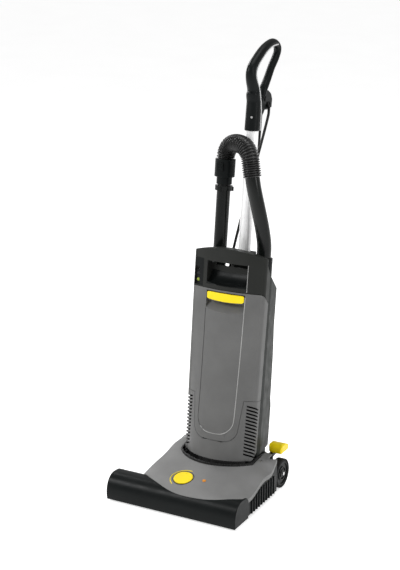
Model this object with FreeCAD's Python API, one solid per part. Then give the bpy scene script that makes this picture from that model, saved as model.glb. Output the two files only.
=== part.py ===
import FreeCAD, Part
import math
import os
from FreeCAD import Placement, Rotation, Vector

# Upright vacuum cleaner for commercial use, in millimetres
# X runs across, the nozzle looks towards -Y and Z is up
# Head sizes are given from the middle of the nozzle on the floor

# Nozzle and brush
nozzle_width = 390.0
nozzle_front_y = -172.0
nozzle_back_y = -95.0
nozzle_top_z = 71.0
floor_gap = 5.0
shell_wall = 3.0
brush_y = -130.0
brush_z = 31.0
brush_core_radius = 19.0
bristle_length = 7.0
bristle_radius = 2.2
bristle_rows = 2
bristles_per_row = 22
bristle_twist_deg = 200.0
brush_gap = 4.0
bearing_radius = 11.0
bearing_width = 8.0
spindle_radius = 4.0
running_clearance = 0.3
brush_pulley_radius = 15.0
pulley_width = 11.0
belt_thickness = 2.5
belt_width = 9.0
belt_slot_half = 8.0
end_wall = 4.0
bearing_gap = 2.0
pulley_gap = 3.5

# Places along the brush, from the nozzle's ends inwards
belt_x = nozzle_width / 2 - end_wall - bearing_width - pulley_gap - pulley_width / 2
brush_x0 = -nozzle_width / 2 + end_wall + bearing_width + bearing_gap
brush_x1 = belt_x - pulley_width / 2 - pulley_gap
brush_length = brush_x1 - brush_x0

# Brush motor
brush_motor_radius = 29.0
brush_motor_length = 92.0
brush_motor_y = -38.0
brush_motor_z = 45.0
motor_pulley_radius = 8.0
motor_shaft_radius = 3.0
motor_pulley_gap = 4.5
brush_motor_x0 = belt_x - pulley_width / 2 - motor_pulley_gap - brush_motor_length

# Head cover and chassis
head_rear_y = 112.0
cover_left_width = 37.0
cover_right_step = 5.0
lever_notch_x = (142.0, 163.0)
lever_notch_top_z = 95.7
chassis_rear_y = 168.0
chassis_floor_z = 9.0
chassis_wall = 3.0
cover_skirt = 12.0
cover_gap = 0.5
side_rib_count = 10
side_rib_pitch = 15.0
side_rib_depth = 3.0
rear_wall_top_z = 38.0
side_wall_top_z = 72.0
seal_width = 4.2

# Wheels and front rollers
head_middle_x = 33.0
wheel_radius = 40.85
wheel_width = 22.0
wheel_axle_y = 131.6
wheel_track = 285.4
axle_radius = 5.0
tyre_depth = 7.0
tyre_rounding = 2.5
roller_radius = 11.0
roller_width = 16.0
roller_y = -76.0
roller_spread = 150.0
roller_pin_radius = 2.5
right_wall_x = head_middle_x + wheel_track / 2 - wheel_width / 2 - 3.0
carriage_half = 88.0
roller_slot_half = 13.0

# Height dial and lamp
dial_x = 4.0
dial_y = -102.0
dial_radius = 26.0
dial_depth = 8.0
dial_tilt_deg = 12.0
dial_rounding = 1.5
dial_clearance = 0.6
dial_proud = 2.0
ledge_width = 3.0
ledge_depth = 2.0
cam_depth = 4.0
lamp_x = 64.0
lamp_y = -96.0
lamp_radius = 5.0
screw_radius = 4.0

# Duct from the nozzle to the bag
duct_z = 48.0
duct_radius = 15.0
duct_wall = 2.0
duct_motor_gap = 15.0
duct_x = brush_motor_x0 - duct_motor_gap - duct_wall - duct_radius
duct_port_length = 30.0
duct_y = 20.0
duct_foot_s = 49.0
duct_top_s = 449.0

# Foot pedal
lug_x = 141.0
lug_width = 3.0
pedal_pin_y = 114.0
pedal_pin_z = 88.0
pedal_pin_radius = 2.5
pedal_x0 = 143.0
pedal_x1 = 184.0
pedal_points = ((127.5, 99.5), (127.0, 110.0), (131.0, 119.0), (141.0, 123.0), (154.0, 121.0), (167.0, 114.5),
                (174.5, 105.0), (173.0, 97.5), (165.0, 95.4), (152.0, 95.6), (138.0, 95.6), (131.0, 96.4))
pedal_block = (125.5, 177.0, 94.6, 124.5)
pedal_round = 9.0
lever_x0 = 145.0
lever_x1 = 157.0

# Upright body, in its own frame: x across, y back, s up along the lean
lean_deg = 7.15
upright_x = head_middle_x
upright_y = 96.6
body_half_width = 108.0
foot_draw_in = 4.0
body_foot_half_width = body_half_width - foot_draw_in
corner_round = 10.0
far_y = -160.0
corner_y = -67.0
top_bulge = 18.0
foot_bulge = 45.0
side_end_y = -39.0
body_bottom_s = 53.0
side_seam_s = 220.0
door_top_s = 511.0
chamfer_low_s = 485.0
tongue_bottom_s = 104.0
tongue_top_half = body_half_width - 33.0
tongue_mid_half = body_half_width - 42.0
tongue_corner = 35.0
panel_half = 59.0
panel_mid_half = 55.0
panel_foot_s = 121.0
panel_corner = 42.0
panel_groove = 1.2
seam_gap = 1.0
hinge_s = 113.0
hinge_inset = 8.0
hinge_half = 30.0
hinge_pin_radius = 1.5
hinge_swing_radius = 12.5
rear_draw_in = 24.0
rear_half_width = body_half_width - rear_draw_in
rear_top_y = 40.0
rear_mid_y = 52.0
rear_low_y = 66.0
rear_bottom_s = 62.0
rear_floor_rise = 4.0
rear_step_s = 178.0
rear_slope_front_s = 564.0
rear_slope_back_s = 515.0
spine_half_width = 27.0
spine_depth = 24.0
spine_top_s = 606.0
louvre_count = 15
louvre_pitch = 9.6
louvre_height = 4.2
louvre_slant_deg = 25.0
louvre_low_s = 72.0

# Top cap
cap_crown_s = 624.0
cap_corner_s = 608.0
cap_rear_y = -56.0
cap_waist_s = 590.0
cap_seam = 1.6
pocket_half_width = 60.0
pocket_low_s = 523.0
pocket_high_s = 586.0
pocket_back_y = -48.0
slot_half_width = 50.0
slot_height = 15.0
slot_rib = 5.0
switch_inset = 14.0
switch_x = switch_inset - body_half_width
switch_width = 18.0
switch_low_s = 516.0
switch_high_s = 564.0
switch_depth = 10.0
rocker_s = 548.0
lens_s = 527.0

# Latch
latch_half_width = 55.0
latch_low_s = 480.0
latch_high_s = 506.0
scoop_low_s = 449.0
latch_thickness = 4.0
latch_axis_y = -72.0

# Handle tube, grip and hooks
tube_y = 16.0
tube_radius = 17.0
tube_wall = 1.5
tube_foot_s = 480.0
tube_top_s = 975.0
sleeve_radius = 20.5
sleeve_bottom_s = 932.0
sleeve_top_s = 1010.5
sleeve_top_radius = 19.4
hook_stem_radius = 7.0
hook_s = 992.0
hook_half_width = 9.0
hook_plate_half = 6.5
hook_stem_end_y = 92.0
trim_half = 1.3
trim_rise = 0.9
grip_screw_s = 969.0
grip_screw_turn_deg = 17.6
lower_hook_s = 300.0

# Line of the grip's loop: y, s, half its width across and half its depth
grip_line = ((14.0, 1010.0, 19.4, 19.4), (8.0, 1040.0, 17.3, 17.0), (-8.0, 1066.0, 15.0, 16.0),
             (-14.0, 1090.0, 13.5, 14.5), (9.0, 1116.0, 13.0, 13.5), (48.0, 1144.0, 12.5, 12.5),
             (84.0, 1160.0, 12.0, 11.5), (118.0, 1163.0, 11.5, 10.5), (138.0, 1148.0, 11.0, 9.5),
             (132.0, 1130.0, 11.0, 9.0), (106.0, 1098.0, 11.0, 9.0), (82.0, 1062.0, 11.5, 9.5),
             (62.0, 1032.0, 12.0, 10.0), (36.0, 1004.0, 12.0, 10.0))

# Suction hose
wand_x = -66.0
wand_radius = 18.5
wand_wall = 2.0
wand_foot_s = 470.0
wand_top_s = 767.0
dock_clearance = 0.6
cuff_radius = 27.5
cuff_low_s = 803.5
cuff_high_s = 852.0
neck_low_s = 784.0
button_s = 832.0
button_half = 5.5
hose_foot_s = 806.0
hose_peak_s = 898.0
hose_over = (21.0, -42.0, 898.0)
hose_end = (36.0, -38.0, 815.3)
hose_bend_radius = 43.9
rib_steps = 4
neck_bend_radius = 40.0
hose_radius = 25.0
hose_valley = 22.0
hose_bore = 19.7
rib_pitch = 5.4
pipe_radius = 19.5
pipe_wall = 2.5
pipe_bends = ((53.0, -24.0, 731.0), (62.0, -9.0, 676.0))
socket_x = 67.0
socket_radius = 24.5
socket_foot_s = 530.0
socket_top_s = 600.0

# Mains cord
cord_diameter = 7.5
coil_mean_radius = 67.5
coil_turns_per_layer = 6
coil_layers = 4
coil_pitch = 8.1
coil_layer_rise = 8.0
coil_climb = 0.5
coil_half_spread = coil_pitch * coil_turns_per_layer / 2
coil_turns = 23.125
coil_step = 0.25
coil_lift = 1.5
strap_thickness = 1.2
plug_radius = 18.5
coil_x = -110.0
coil_y = 360.0
gland_x = -46.0
gland_y = 30.0
gland_radius = 7.0
gland_top_s = 558.0
clip_x = -32.0
clip_y = 81.0
clip_s = 130.0
cord_down = ((-11.5, 86.5, 915.0), (-14.5, 87.0, 812.0), (-19.0, 87.5, 708.0), (-24.0, 87.5, 604.0),
             (-28.5, 87.0, 500.0), (-32.0, 86.0, 398.0), (-34.0, 85.0, 300.0), (-34.0, 83.5, 215.0),
             (-32.0, 81.0, 158.0))
cord_landing = ((-3.0, 198.0, 56.0), (-8.0, 233.0, 16.0), (-14.0, 282.0, 5.5))

# Yoke and suction motor
yoke_x = 92.0
yoke_width = 8.0
sector_radius = 38.0
motor_radius = 42.0
motor_y = -42.0
yoke_front_y = -70.0
yoke_rear_y = 42.0
yoke_plate = 4.0
sector_width = 11.0
fan_shaft_radius = 4.0
fan_blade_count = 9
shelf_s = 208.0
shelf_thickness = 4.0
filter_thickness = 12.0
bag_half_width = 70.0
bag_back_y = -6.3
bag_top_s = 460.0

# Sides of the head, which follow the nozzle and the body
nozzle_end_x = nozzle_width / 2
head_left_x = upright_x - body_half_width - cover_left_width
head_right_x = nozzle_end_x - cover_right_step
cover_screw_places = ((head_left_x + 14.0, 98.0), (upright_x + body_half_width + 10.0, 66.0))


# Basic solids


def box(x0, x1, y0, y1, z0, z1):
    return Part.makeBox(x1 - x0, y1 - y0, z1 - z0, Vector(x0, y0, z0))


def rod(x, y, z, direction, radius, length):
    return Part.makeCylinder(radius, length, Vector(x, y, z), Vector(*direction))


def rod_x(x0, x1, y, z, radius):
    return rod(x0, y, z, (1, 0, 0), radius, x1 - x0)


def ring_x(x0, x1, y, z, outer, inner):
    return rod_x(x0, x1, y, z, outer).cut(rod_x(x0 - 1, x1 + 1, y, z, inner))


def rod_s(x, y, s0, s1, radius):
    return rod(x, y, s0, (0, 0, 1), radius, s1 - s0)


def pipe_s(x, y, s0, s1, outer, inner):
    return rod_s(x, y, s0, s1, outer).cut(rod_s(x, y, s0 - 1, s1 + 1, inner))


def loop_face(points):
    return Part.Face(Part.makePolygon([Vector(*p) for p in points + points[:1]]))


def side_profile(points, x0, x1):
    face = loop_face([(x0, y, z) for y, z in points])
    return face.extrude(Vector(x1 - x0, 0, 0))


def plan(points, z0, z1):
    face = loop_face([(x, y, z0) for x, y in points])
    return face.extrude(Vector(0, 0, z1 - z0))


def group(solids):
    return Part.makeCompound([s for shape in solids for s in shape.Solids])


def fuse(first, *others):
    return first.fuse(list(others)).removeSplitter()


def circles(shape, radius):
    # The shape's round edges of one radius
    round_edges = [e for e in shape.Edges if isinstance(e.Curve, Part.Circle)]
    return [e for e in round_edges if abs(e.Curve.Radius - radius) < 0.01]


def save(node, shape):
    parts[node] = shape


parts = {}
upright_nodes = []
cord_nodes = ("cord_run", "cord_fall", "cord_coil", "cord_tail", "cord_tie", "plug", "cord_gland")


def save_upright(node, shape):
    parts[node] = shape
    upright_nodes.append(node)


# Shapes of the head

# Heights of the cover's top at a coarse net of places, and the line of its front edge
cover_net_x = (head_left_x - 13.0, -30.0, 57.0, nozzle_end_x - 69.0, nozzle_end_x - 27.0,
               nozzle_end_x + 5.0)
cover_net = (
    (-185.0, (62.0, 58.0, 55.0, 58.0, 64.0, 66.0)),
    (-150.0, (69.0, 67.0, 66.0, 67.0, 69.0, 70.0)),
    (-115.0, (70.0, 78.0, 80.0, 75.0, 69.0, 66.0)),
    (-80.0, (75.0, 84.0, 88.0, 82.0, 69.0, 55.0)),
    (-30.0, (82.0, 92.0, 96.0, 91.0, 80.0, 65.0)),
    (10.0, (87.0, 98.0, 101.0, 97.0, 88.0, 74.0)),
    (60.0, (93.0, 105.0, 107.0, 102.0, 90.0, 77.0)),
    (125.0, (99.0, 111.5, 113.0, 107.5, 94.5, 83.0)),
)
cover_front_edge = ((head_left_x, -110.0), (head_left_x + 53.0, -137.0), (-15.0, -153.0), (57.0, -158.0),
                    (nozzle_end_x - 68.0, -150.0), (nozzle_end_x - 35.0, -138.0), (nozzle_end_x - 4.0, -120.0))
cover_corner = (nozzle_end_x - 3.0, -84.0)
cover_rear_right_x = 162.0
arch_y = wheel_axle_y - wheel_radius - 5.0
cover_lip_end_y = nozzle_back_y + 1.0


def below_cover(drop):
    surface = Part.BSplineSurface()
    surface.interpolate([[Vector(x, y, z - drop) for x, z in zip(cover_net_x, row)]
                         for y, row in cover_net])
    return surface.toShape().extrude(Vector(0, 0, -250))


def cover_top_z(x, y):
    line = Part.makeLine(Vector(x, y, -50), Vector(x, y, 200))
    return line.common(below_cover(0)).BoundBox.ZMax


def cover_outline(grow, z0, z1):
    front = Part.BSplineCurve()
    front.interpolate([Vector(x, y - grow, z0) for x, y in cover_front_edge])
    start = Vector(head_left_x - grow, cover_front_edge[0][1] - grow, z0)
    stops = [(cover_corner[0] + grow, cover_corner[1]), (head_right_x + grow, arch_y + grow),
             (cover_rear_right_x + grow, arch_y + grow), (cover_rear_right_x + grow, head_rear_y + grow),
             (head_left_x - grow, head_rear_y + grow)]
    corners = [front.value(front.LastParameter)] + [Vector(x, y, z0) for x, y in stops] + [start]
    edges = [front.toShape()]
    edges += [Part.makeLine(a, b) for a, b in zip(corners, corners[1:])]
    if start.distanceToPoint(front.value(front.FirstParameter)) > 0.001:
        edges.append(Part.makeLine(start, front.value(front.FirstParameter)))
    return Part.Face(Part.Wire(edges)).extrude(Vector(0, 0, z1 - z0))


def well(grow, z0, z1):
    # The opening that the upright's foot stands in, with its front edge an arc
    half = body_half_width + 2.0 + grow
    side_y = 30.0
    front_y = -24.0 - grow
    a = Vector(upright_x - half, side_y, z0)
    b = Vector(upright_x + half, side_y, z0)
    arc = Part.Arc(a, Vector(upright_x, front_y, z0), b).toShape()
    c = Vector(upright_x + half, head_rear_y + 60, z0)
    d = Vector(upright_x - half, head_rear_y + 60, z0)
    wire = Part.Wire([arc, Part.makeLine(b, c), Part.makeLine(c, d), Part.makeLine(d, a)])
    return Part.Face(wire).extrude(Vector(0, 0, z1 - z0))


def dial_frame(shape):
    # Puts a shape drawn about Z onto the sloping top of the cover at the dial
    top = Vector(dial_x, dial_y, cover_top_z(dial_x, dial_y))
    shape.Placement = Placement(top, Rotation(Vector(1, 0, 0), dial_tilt_deg))
    return shape


def make_cover():
    lid = cover_outline(0, 0, 200).common(below_cover(0)).cut(below_cover(shell_wall))
    skirt = cover_outline(0, 0, 200).common(below_cover(0)).cut(below_cover(cover_skirt))
    skirt = skirt.cut(cover_outline(-shell_wall, 0, 200))
    skirt = skirt.cut(box(-400, 400, -400, cover_lip_end_y, 0, 200))
    cover = lid.fuse(skirt)
    cover = cover.cut(well(0, 0, 250))
    cover = cover.cut(box(lever_notch_x[0], lever_notch_x[1], head_rear_y - 12, head_rear_y + 5, 60,
                          lever_notch_top_z))
    hole = rod(0, 0, -30, (0, 0, 1), dial_radius + dial_clearance, 60)
    ledge = rod(0, 0, dial_proud - dial_depth - running_clearance - ledge_depth, (0, 0, 1),
                dial_radius + dial_clearance + shell_wall, dial_depth - dial_proud + ledge_depth)
    ledge = ledge.cut(rod(0, 0, dial_proud - dial_depth - running_clearance, (0, 0, 1),
                          dial_radius + dial_clearance, 30))
    ledge = ledge.cut(rod(0, 0, -30, (0, 0, 1), dial_radius - ledge_width, 60))
    cover = cover.cut(dial_frame(hole)).fuse(dial_frame(ledge))
    holes = [rod(lamp_x, lamp_y, 0, (0, 0, 1), lamp_radius + running_clearance, 200)]
    for x, y in cover_screw_places:
        holes.append(rod(x, y, cover_top_z(x, y) - 1.5, (0, 0, 1), screw_radius + 0.2, 20))
    return cover.cut(holes).removeSplitter()


def nozzle_block(half):
    # The nozzle's outside, with its front and top one round line seen from the side
    back = nozzle_back_y
    front = nozzle_front_y
    top = nozzle_top_z
    low = floor_gap
    places = [(front + 2, low), (front, low + 20), (front + 3, low + 38), (front + 10, low + 52),
              (front + 20, top - 5), (front + 32, top), (back - 27, top), (back - 10, top - 3),
              (back, top - 12)]
    curve = Part.BSplineCurve()
    curve.interpolate([Vector(-half, y, z) for y, z in places])
    corner = Vector(-half, back, low)
    first = Vector(-half, places[0][0], places[0][1])
    last = Vector(-half, places[-1][0], places[-1][1])
    wire = Part.Wire([curve.toShape(), Part.makeLine(last, corner), Part.makeLine(corner, first)])
    return Part.Face(wire).extrude(Vector(2 * half, 0, 0))


def make_nozzle():
    half = nozzle_width / 2
    inner_half = half - end_wall
    chamber_radius = brush_core_radius + bristle_length + brush_gap
    shell = nozzle_block(half)
    front_edges = [e for e in shell.Edges if abs(abs(e.CenterOfMass.x) - half) < 0.1
                   and e.CenterOfMass.y < nozzle_front_y + 40]
    shell = shell.makeChamfer(1.5, front_edges)
    chamber = rod_x(-inner_half, inner_half, brush_y, brush_z, chamber_radius)
    mouth = box(-inner_half, inner_half, brush_y - chamber_radius, brush_y + chamber_radius, -5, brush_z)
    shell = shell.cut(chamber).cut(mouth)
    for side in (-1, 1):
        x = side * (inner_half - bearing_width / 2)
        seat = ring_x(x - bearing_width / 2, x + bearing_width / 2, brush_y, brush_z,
                      bearing_radius + shell_wall, bearing_radius + running_clearance)
        shell = shell.fuse(seat)
    shell = shell.cut(box(belt_x - belt_slot_half, belt_x + belt_slot_half, brush_y + 10, 0,
                          floor_gap + 8, floor_gap + 54))
    shell = shell.cut(rod(duct_x, brush_y, duct_z, (0, 1, 0), duct_radius, 80))
    port = rod(duct_x, nozzle_back_y - 1, duct_z, (0, 1, 0), duct_radius + duct_wall, duct_port_length + 1)
    port = port.cut(rod(duct_x, nozzle_back_y - 5, duct_z, (0, 1, 0), duct_radius, 60))
    shell = shell.fuse(port)
    cover_space = cover_outline(cover_gap, 0, 200).cut(below_cover(shell_wall + running_clearance))
    shell = shell.cut(cover_space)
    ledge_space = rod(0, 0, -12, (0, 0, 1), dial_radius + dial_clearance + shell_wall + 1, 30)
    return shell.cut(dial_frame(ledge_space)).removeSplitter()


def chassis_outline(inset, z0, z1):
    front = nozzle_back_y + cover_gap + inset
    left = head_left_x + inset
    well_left = upright_x - wheel_track / 2 + wheel_width / 2 + 3.0 + inset
    well_right = upright_x + wheel_track / 2 - wheel_width / 2 - 3.0 - inset
    arch = arch_y - inset
    rear = chassis_rear_y - inset
    right = head_right_x - inset
    return plan([(left, front), (cover_corner[0] - inset, front), (cover_corner[0] - inset, cover_corner[1]),
                 (right, arch), (well_right, arch), (well_right, rear), (well_left, rear),
                 (well_left, arch), (left, arch)], z0, z1)


def make_chassis():
    walls = chassis_outline(0, chassis_floor_z, 200)
    walls = walls.cut(chassis_outline(chassis_wall, chassis_floor_z + chassis_wall, 250))
    walls = walls.cut(box(-400, 400, head_rear_y, 400, side_wall_top_z, 300))
    walls = walls.cut(box(upright_x - body_half_width - 4, upright_x + body_half_width + 4, head_rear_y, 400,
                          rear_wall_top_z, 300))
    ribs = []
    for k in range(side_rib_count):
        y = cover_corner[1] + 12 + k * side_rib_pitch
        rib = box(cover_corner[0] - 30, cover_corner[0] + 4, y, y + 4, chassis_floor_z, 60)
        ribs.append(rib)
    grown = chassis_outline(-side_rib_depth, chassis_floor_z, 60).cut(chassis_outline(1, 0, 100))
    walls = walls.fuse([rib.common(grown) for rib in ribs])
    walls = walls.common(below_cover(cover_skirt + running_clearance))
    floor_top = chassis_floor_z + chassis_wall
    cradles = []
    for x in (brush_motor_x0 + 12, brush_motor_x0 + brush_motor_length - 16):
        cradle = box(x, x + 4, brush_motor_y - 22, brush_motor_y + 22, floor_top - 1, brush_motor_z - 12)
        cradles.append(cradle.cut(rod_x(x - 1, x + 5, brush_motor_y, brush_motor_z,
                                        brush_motor_radius + running_clearance)))
    lug_points = [(pedal_pin_y - 10, floor_top - 1), (pedal_pin_y - 6, pedal_pin_z + 6),
                  (pedal_pin_y + 6, pedal_pin_z + 6), (pedal_pin_y + 10, floor_top - 1)]
    lugs = [side_profile(lug_points, lug_x, lug_x + lug_width)]
    lugs.append(side_profile(lug_points, right_wall_x - chassis_wall, right_wall_x))
    chassis = fuse(walls, *(cradles + lugs))
    chassis = chassis.cut(rod_x(lug_x - 1, right_wall_x + 1, pedal_pin_y, pedal_pin_z,
                                pedal_pin_radius + 0.05))
    chassis = chassis.cut(rod_x(-300, 400, wheel_axle_y, wheel_radius, axle_radius + 0.05))
    chassis = chassis.cut(rod(duct_x, nozzle_back_y - 20, duct_z, (0, 1, 0),
                              duct_radius + duct_wall + 0.3, 60))
    chassis = chassis.cut(box(belt_x - belt_slot_half, belt_x + belt_slot_half, nozzle_back_y - 5,
                              nozzle_back_y + 10, floor_top + 0.5, floor_gap + 60))
    for side in (-1, 1):
        x = side * roller_spread / 2
        chassis = chassis.cut(box(x - roller_slot_half, x + roller_slot_half, roller_y - 14, roller_y + 14,
                                  0, floor_top + 1))
    return chassis


def make_sole_plate():
    half = nozzle_width / 2 - end_wall - 1
    chamber_radius = brush_core_radius + bristle_length + brush_gap
    plate = box(-half, half, brush_y - chamber_radius + 1, nozzle_back_y - 1, floor_gap - 2.0,
                floor_gap - 0.3)
    window = box(-half + 12, half - 18, brush_y - 23, brush_y + 23, 0, 10)
    for x in (-90, 0, 90):
        window = window.cut(box(x - 1.5, x + 1.5, -400, 400, 0, 10))
    return plate.cut(window)


def make_seal():
    ring = well(-cover_gap, 0, 250).cut(well(-cover_gap - seal_width, 0, 250))
    ring = ring.cut(box(-400, 400, head_rear_y - 30, 400, 0, 300))
    return ring.common(below_cover(-5.0)).cut(below_cover(6.0))


def belt_loop(x0, x1, y0, z0, r0, y1, z1, r1):
    # Outline of a belt pulled tight round two pulleys
    span = math.hypot(y1 - y0, z1 - z0)
    base = math.atan2(z1 - z0, y1 - y0)
    spread = math.acos((r0 - r1) / span)

    def at(y, z, r, angle):
        return Vector(x0, y + r * math.cos(angle), z + r * math.sin(angle))

    up0 = at(y0, z0, r0, base + spread)
    up1 = at(y1, z1, r1, base + spread)
    low0 = at(y0, z0, r0, base - spread)
    low1 = at(y1, z1, r1, base - spread)
    wire = Part.Wire([Part.makeLine(up0, up1), Part.Arc(up1, at(y1, z1, r1, base), low1).toShape(),
                      Part.makeLine(low1, low0),
                      Part.Arc(low0, at(y0, z0, r0, base + math.pi), up0).toShape()])
    return Part.Face(wire).extrude(Vector(x1 - x0, 0, 0))


def make_head():
    save("nozzle_housing", make_nozzle())
    save("head_cover", make_cover())
    save("head_chassis", make_chassis())
    save("sole_plate", make_sole_plate())
    save("neck_seal", make_seal())
    inner_half = nozzle_width / 2 - end_wall
    bearings = []
    for side in (-1, 1):
        x = side * (inner_half - bearing_width / 2)
        bearings.append(ring_x(x - bearing_width / 2, x + bearing_width / 2, brush_y, brush_z, bearing_radius,
                               spindle_radius + running_clearance))
    save("brush_bearings", group(bearings))
    motor = rod_x(brush_motor_x0, brush_motor_x0 + brush_motor_length, brush_motor_y, brush_motor_z,
                  brush_motor_radius)
    motor = motor.cut(rod_x(brush_motor_x0 + brush_motor_length - 25, belt_x, brush_motor_y, brush_motor_z,
                            motor_shaft_radius + running_clearance))
    save("brush_motor", motor)
    gap = running_clearance
    inner = belt_loop(belt_x - belt_width / 2 - 1, belt_x + belt_width / 2 + 1, brush_y, brush_z,
                      brush_pulley_radius + gap, brush_motor_y, brush_motor_z, motor_pulley_radius + gap)
    outer = belt_loop(belt_x - belt_width / 2, belt_x + belt_width / 2, brush_y, brush_z,
                      brush_pulley_radius + gap + belt_thickness, brush_motor_y, brush_motor_z,
                      motor_pulley_radius + gap + belt_thickness)
    save("drive_belt", outer.cut(inner))
    half_track = wheel_track / 2
    save("wheel_axle", rod_x(upright_x - half_track - wheel_width / 2 - 3, upright_x + half_track
                             + wheel_width / 2 + 3, wheel_axle_y, wheel_radius, axle_radius))
    lamp_z = cover_top_z(lamp_x, lamp_y)
    save("lamp_lens", rod(lamp_x, lamp_y, lamp_z - 6, (0, 0, 1), lamp_radius, 7.5))
    save("pedal_pin", rod_x(lug_x, right_wall_x, pedal_pin_y, pedal_pin_z, pedal_pin_radius))
    screws = []
    for x, y in cover_screw_places:
        screws.append(rod(x, y, cover_top_z(x, y) - 1.45, (0, 0, 1), screw_radius, 1.6))
    save("cover_screws", group(screws))


def make_brush():
    roller = rod_x(brush_x0, brush_x1, brush_y, brush_z, brush_core_radius)
    spindle = rod_x(brush_x0 - bearing_width - 1.5, nozzle_width / 2 - end_wall - 0.5, brush_y, brush_z,
                    spindle_radius)
    roller = roller.fuse(spindle)
    sockets = []
    tufts = []
    for row in range(bristle_rows):
        for k in range(bristles_per_row):
            share = (k + 0.5) / bristles_per_row
            angle = math.radians(360.0 * row / bristle_rows + bristle_twist_deg * share)
            out = (0, math.cos(angle), math.sin(angle))
            x = brush_x0 + 4 + (brush_length - 8) * share
            start = brush_core_radius - 5.0
            y = brush_y + start * out[1]
            z = brush_z + start * out[2]
            tufts.append(rod(x, y, z, out, bristle_radius, 5.0 + bristle_length))
            sockets.append(rod(x, y, z, out, bristle_radius, 10.0))
    save("brush_bristles", group(tufts))
    pulley = ring_x(belt_x - pulley_width / 2, belt_x + pulley_width / 2, brush_y, brush_z,
                    brush_pulley_radius, spindle_radius)
    save("brush_roller", roller.cut(sockets).fuse(pulley).removeSplitter())


def make_motor_pulley():
    shaft = rod_x(brush_motor_x0 + brush_motor_length - 24, belt_x + pulley_width / 2 + 1, brush_motor_y,
                  brush_motor_z, motor_shaft_radius)
    wheel = rod_x(belt_x - pulley_width / 2, belt_x + pulley_width / 2, brush_motor_y, brush_motor_z,
                  motor_pulley_radius)
    save("motor_pulley", shaft.fuse(wheel).removeSplitter())


def make_wheels():
    for side, name in ((-1, "left"), (1, "right")):
        x = upright_x + side * wheel_track / 2
        x0 = x - wheel_width / 2
        x1 = x + wheel_width / 2
        rim = wheel_radius - tyre_depth
        hub = ring_x(x0 + 1, x1 - 1, wheel_axle_y, wheel_radius, rim, axle_radius + running_clearance)
        outer_x = x1 - 1 if side > 0 else x0 + 1
        for inner, outer in ((20.0, rim - 4), (11.0, 17.0)):
            groove = ring_x(outer_x - 2.5, outer_x + 2.5, wheel_axle_y, wheel_radius, outer, inner)
            hub = hub.cut(groove)
        save("wheel_hub_" + name, hub)
        tyre = ring_x(x0, x1, wheel_axle_y, wheel_radius, wheel_radius, rim)
        tyre = tyre.makeFillet(tyre_rounding, circles(tyre, wheel_radius))
        save("tyre_" + name, tyre)


def make_dial():
    low = dial_proud - dial_depth
    disc = rod(0, 0, low, (0, 0, 1), dial_radius, dial_depth)
    disc = disc.makeFillet(dial_rounding, [e for e in circles(disc, dial_radius) if e.CenterOfMass.z > 0])
    cam_outer = dial_radius - ledge_width - 1.0
    cam = rod(0, 0, low - cam_depth, (0, 0, 1), cam_outer, cam_depth + 1)
    cam = cam.cut(rod(0, 0, low - cam_depth - 1, (0, 0, 1), cam_outer - 5, cam_depth + 3))
    stem = rod(0, 0, low - 6, (0, 0, 1), 6, 7)
    pointer = box(-2, 2, dial_radius - 9, dial_radius - 2, dial_proud - 1, dial_proud + 0.8)
    save("height_dial", dial_frame(disc.fuse([cam, stem, pointer]).removeSplitter()))


def make_carriage():
    beam_z = 2 * roller_radius + 2.0
    beam = box(-carriage_half, carriage_half, roller_y - 4, roller_y + 4, beam_z, beam_z + 6)
    pieces = []
    for side in (-1, 1):
        x = side * roller_spread / 2
        for edge in (-1, 1):
            cheek_x = x + edge * (roller_width / 2 + 1.75)
            pieces.append(box(cheek_x - 1.25, cheek_x + 1.25, roller_y - 6, roller_y + 6,
                              roller_radius - 5, beam_z + 3))
        pieces.append(rod_x(x - roller_width / 2 - 3, x + roller_width / 2 + 3, roller_y, roller_radius,
                            roller_pin_radius))
    post_y = dial_y + dial_radius - ledge_width - 3.5
    pieces.append(box(dial_x - 4, dial_x + 4, post_y - 3, post_y + 3, beam_z + 3,
                      cover_top_z(dial_x, dial_y)))
    over = rod(0, 0, dial_proud - dial_depth - cam_depth - running_clearance, (0, 0, 1), 2 * dial_radius, 60)
    save("height_carriage", fuse(beam, *pieces).cut(dial_frame(over)))
    rollers = []
    for side in (-1, 1):
        x = side * roller_spread / 2
        rollers.append(ring_x(x - roller_width / 2, x + roller_width / 2, roller_y, roller_radius,
                              roller_radius,
                              roller_pin_radius + running_clearance))
    save("front_rollers", group(rollers))


def make_pedal():
    outline = Part.BSplineCurve()
    outline.interpolate([Vector(pedal_x0, y, z) for y, z in pedal_points], PeriodicFlag=True)
    face = Part.Face(Part.Wire([outline.toShape()]))
    y0, y1, z0, z1 = pedal_block
    block = box(pedal_x0, pedal_x1, y0, y1, z0, z1)
    block = block.makeFillet(pedal_round, block.Edges)
    save("foot_pedal", block.common(face.extrude(Vector(pedal_x1 - pedal_x0, 0, 0))))
    arm = side_profile([(108, 84), (110, 93), (126, 94.8), (168, 94.4), (168, 89), (132, 85), (116, 82)],
                       lever_x0, lever_x1)
    hub = rod_x(lever_x0, lever_x1, pedal_pin_y, pedal_pin_z, 7.0)
    finger = box(lug_x - 10, lever_x1, 93, 101, 84, 89)
    link = box(lever_x0, lever_x1, 93, 110, 84, 89)
    tooth = box(lug_x - 10, lug_x - 5, 94, 100, 65, 85)
    lever = fuse(arm, hub, finger, link, tooth)
    save("pedal_lever", lever.cut(rod_x(lever_x0 - 1, lever_x1 + 1, pedal_pin_y, pedal_pin_z,
                                        pedal_pin_radius + running_clearance)))


# Shapes of the upright, drawn in its own frame


def body_half(s):
    share = (s - body_bottom_s) / (door_top_s - body_bottom_s)
    return body_foot_half_width + (body_half_width - body_foot_half_width) * min(max(share, 0.0), 1.0)


def front_bulge(s):
    share = min(max((door_top_s - s) / (door_top_s - body_bottom_s), 0.0), 1.1)
    return top_bulge + (foot_bulge - top_bulge) * share * share


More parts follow.
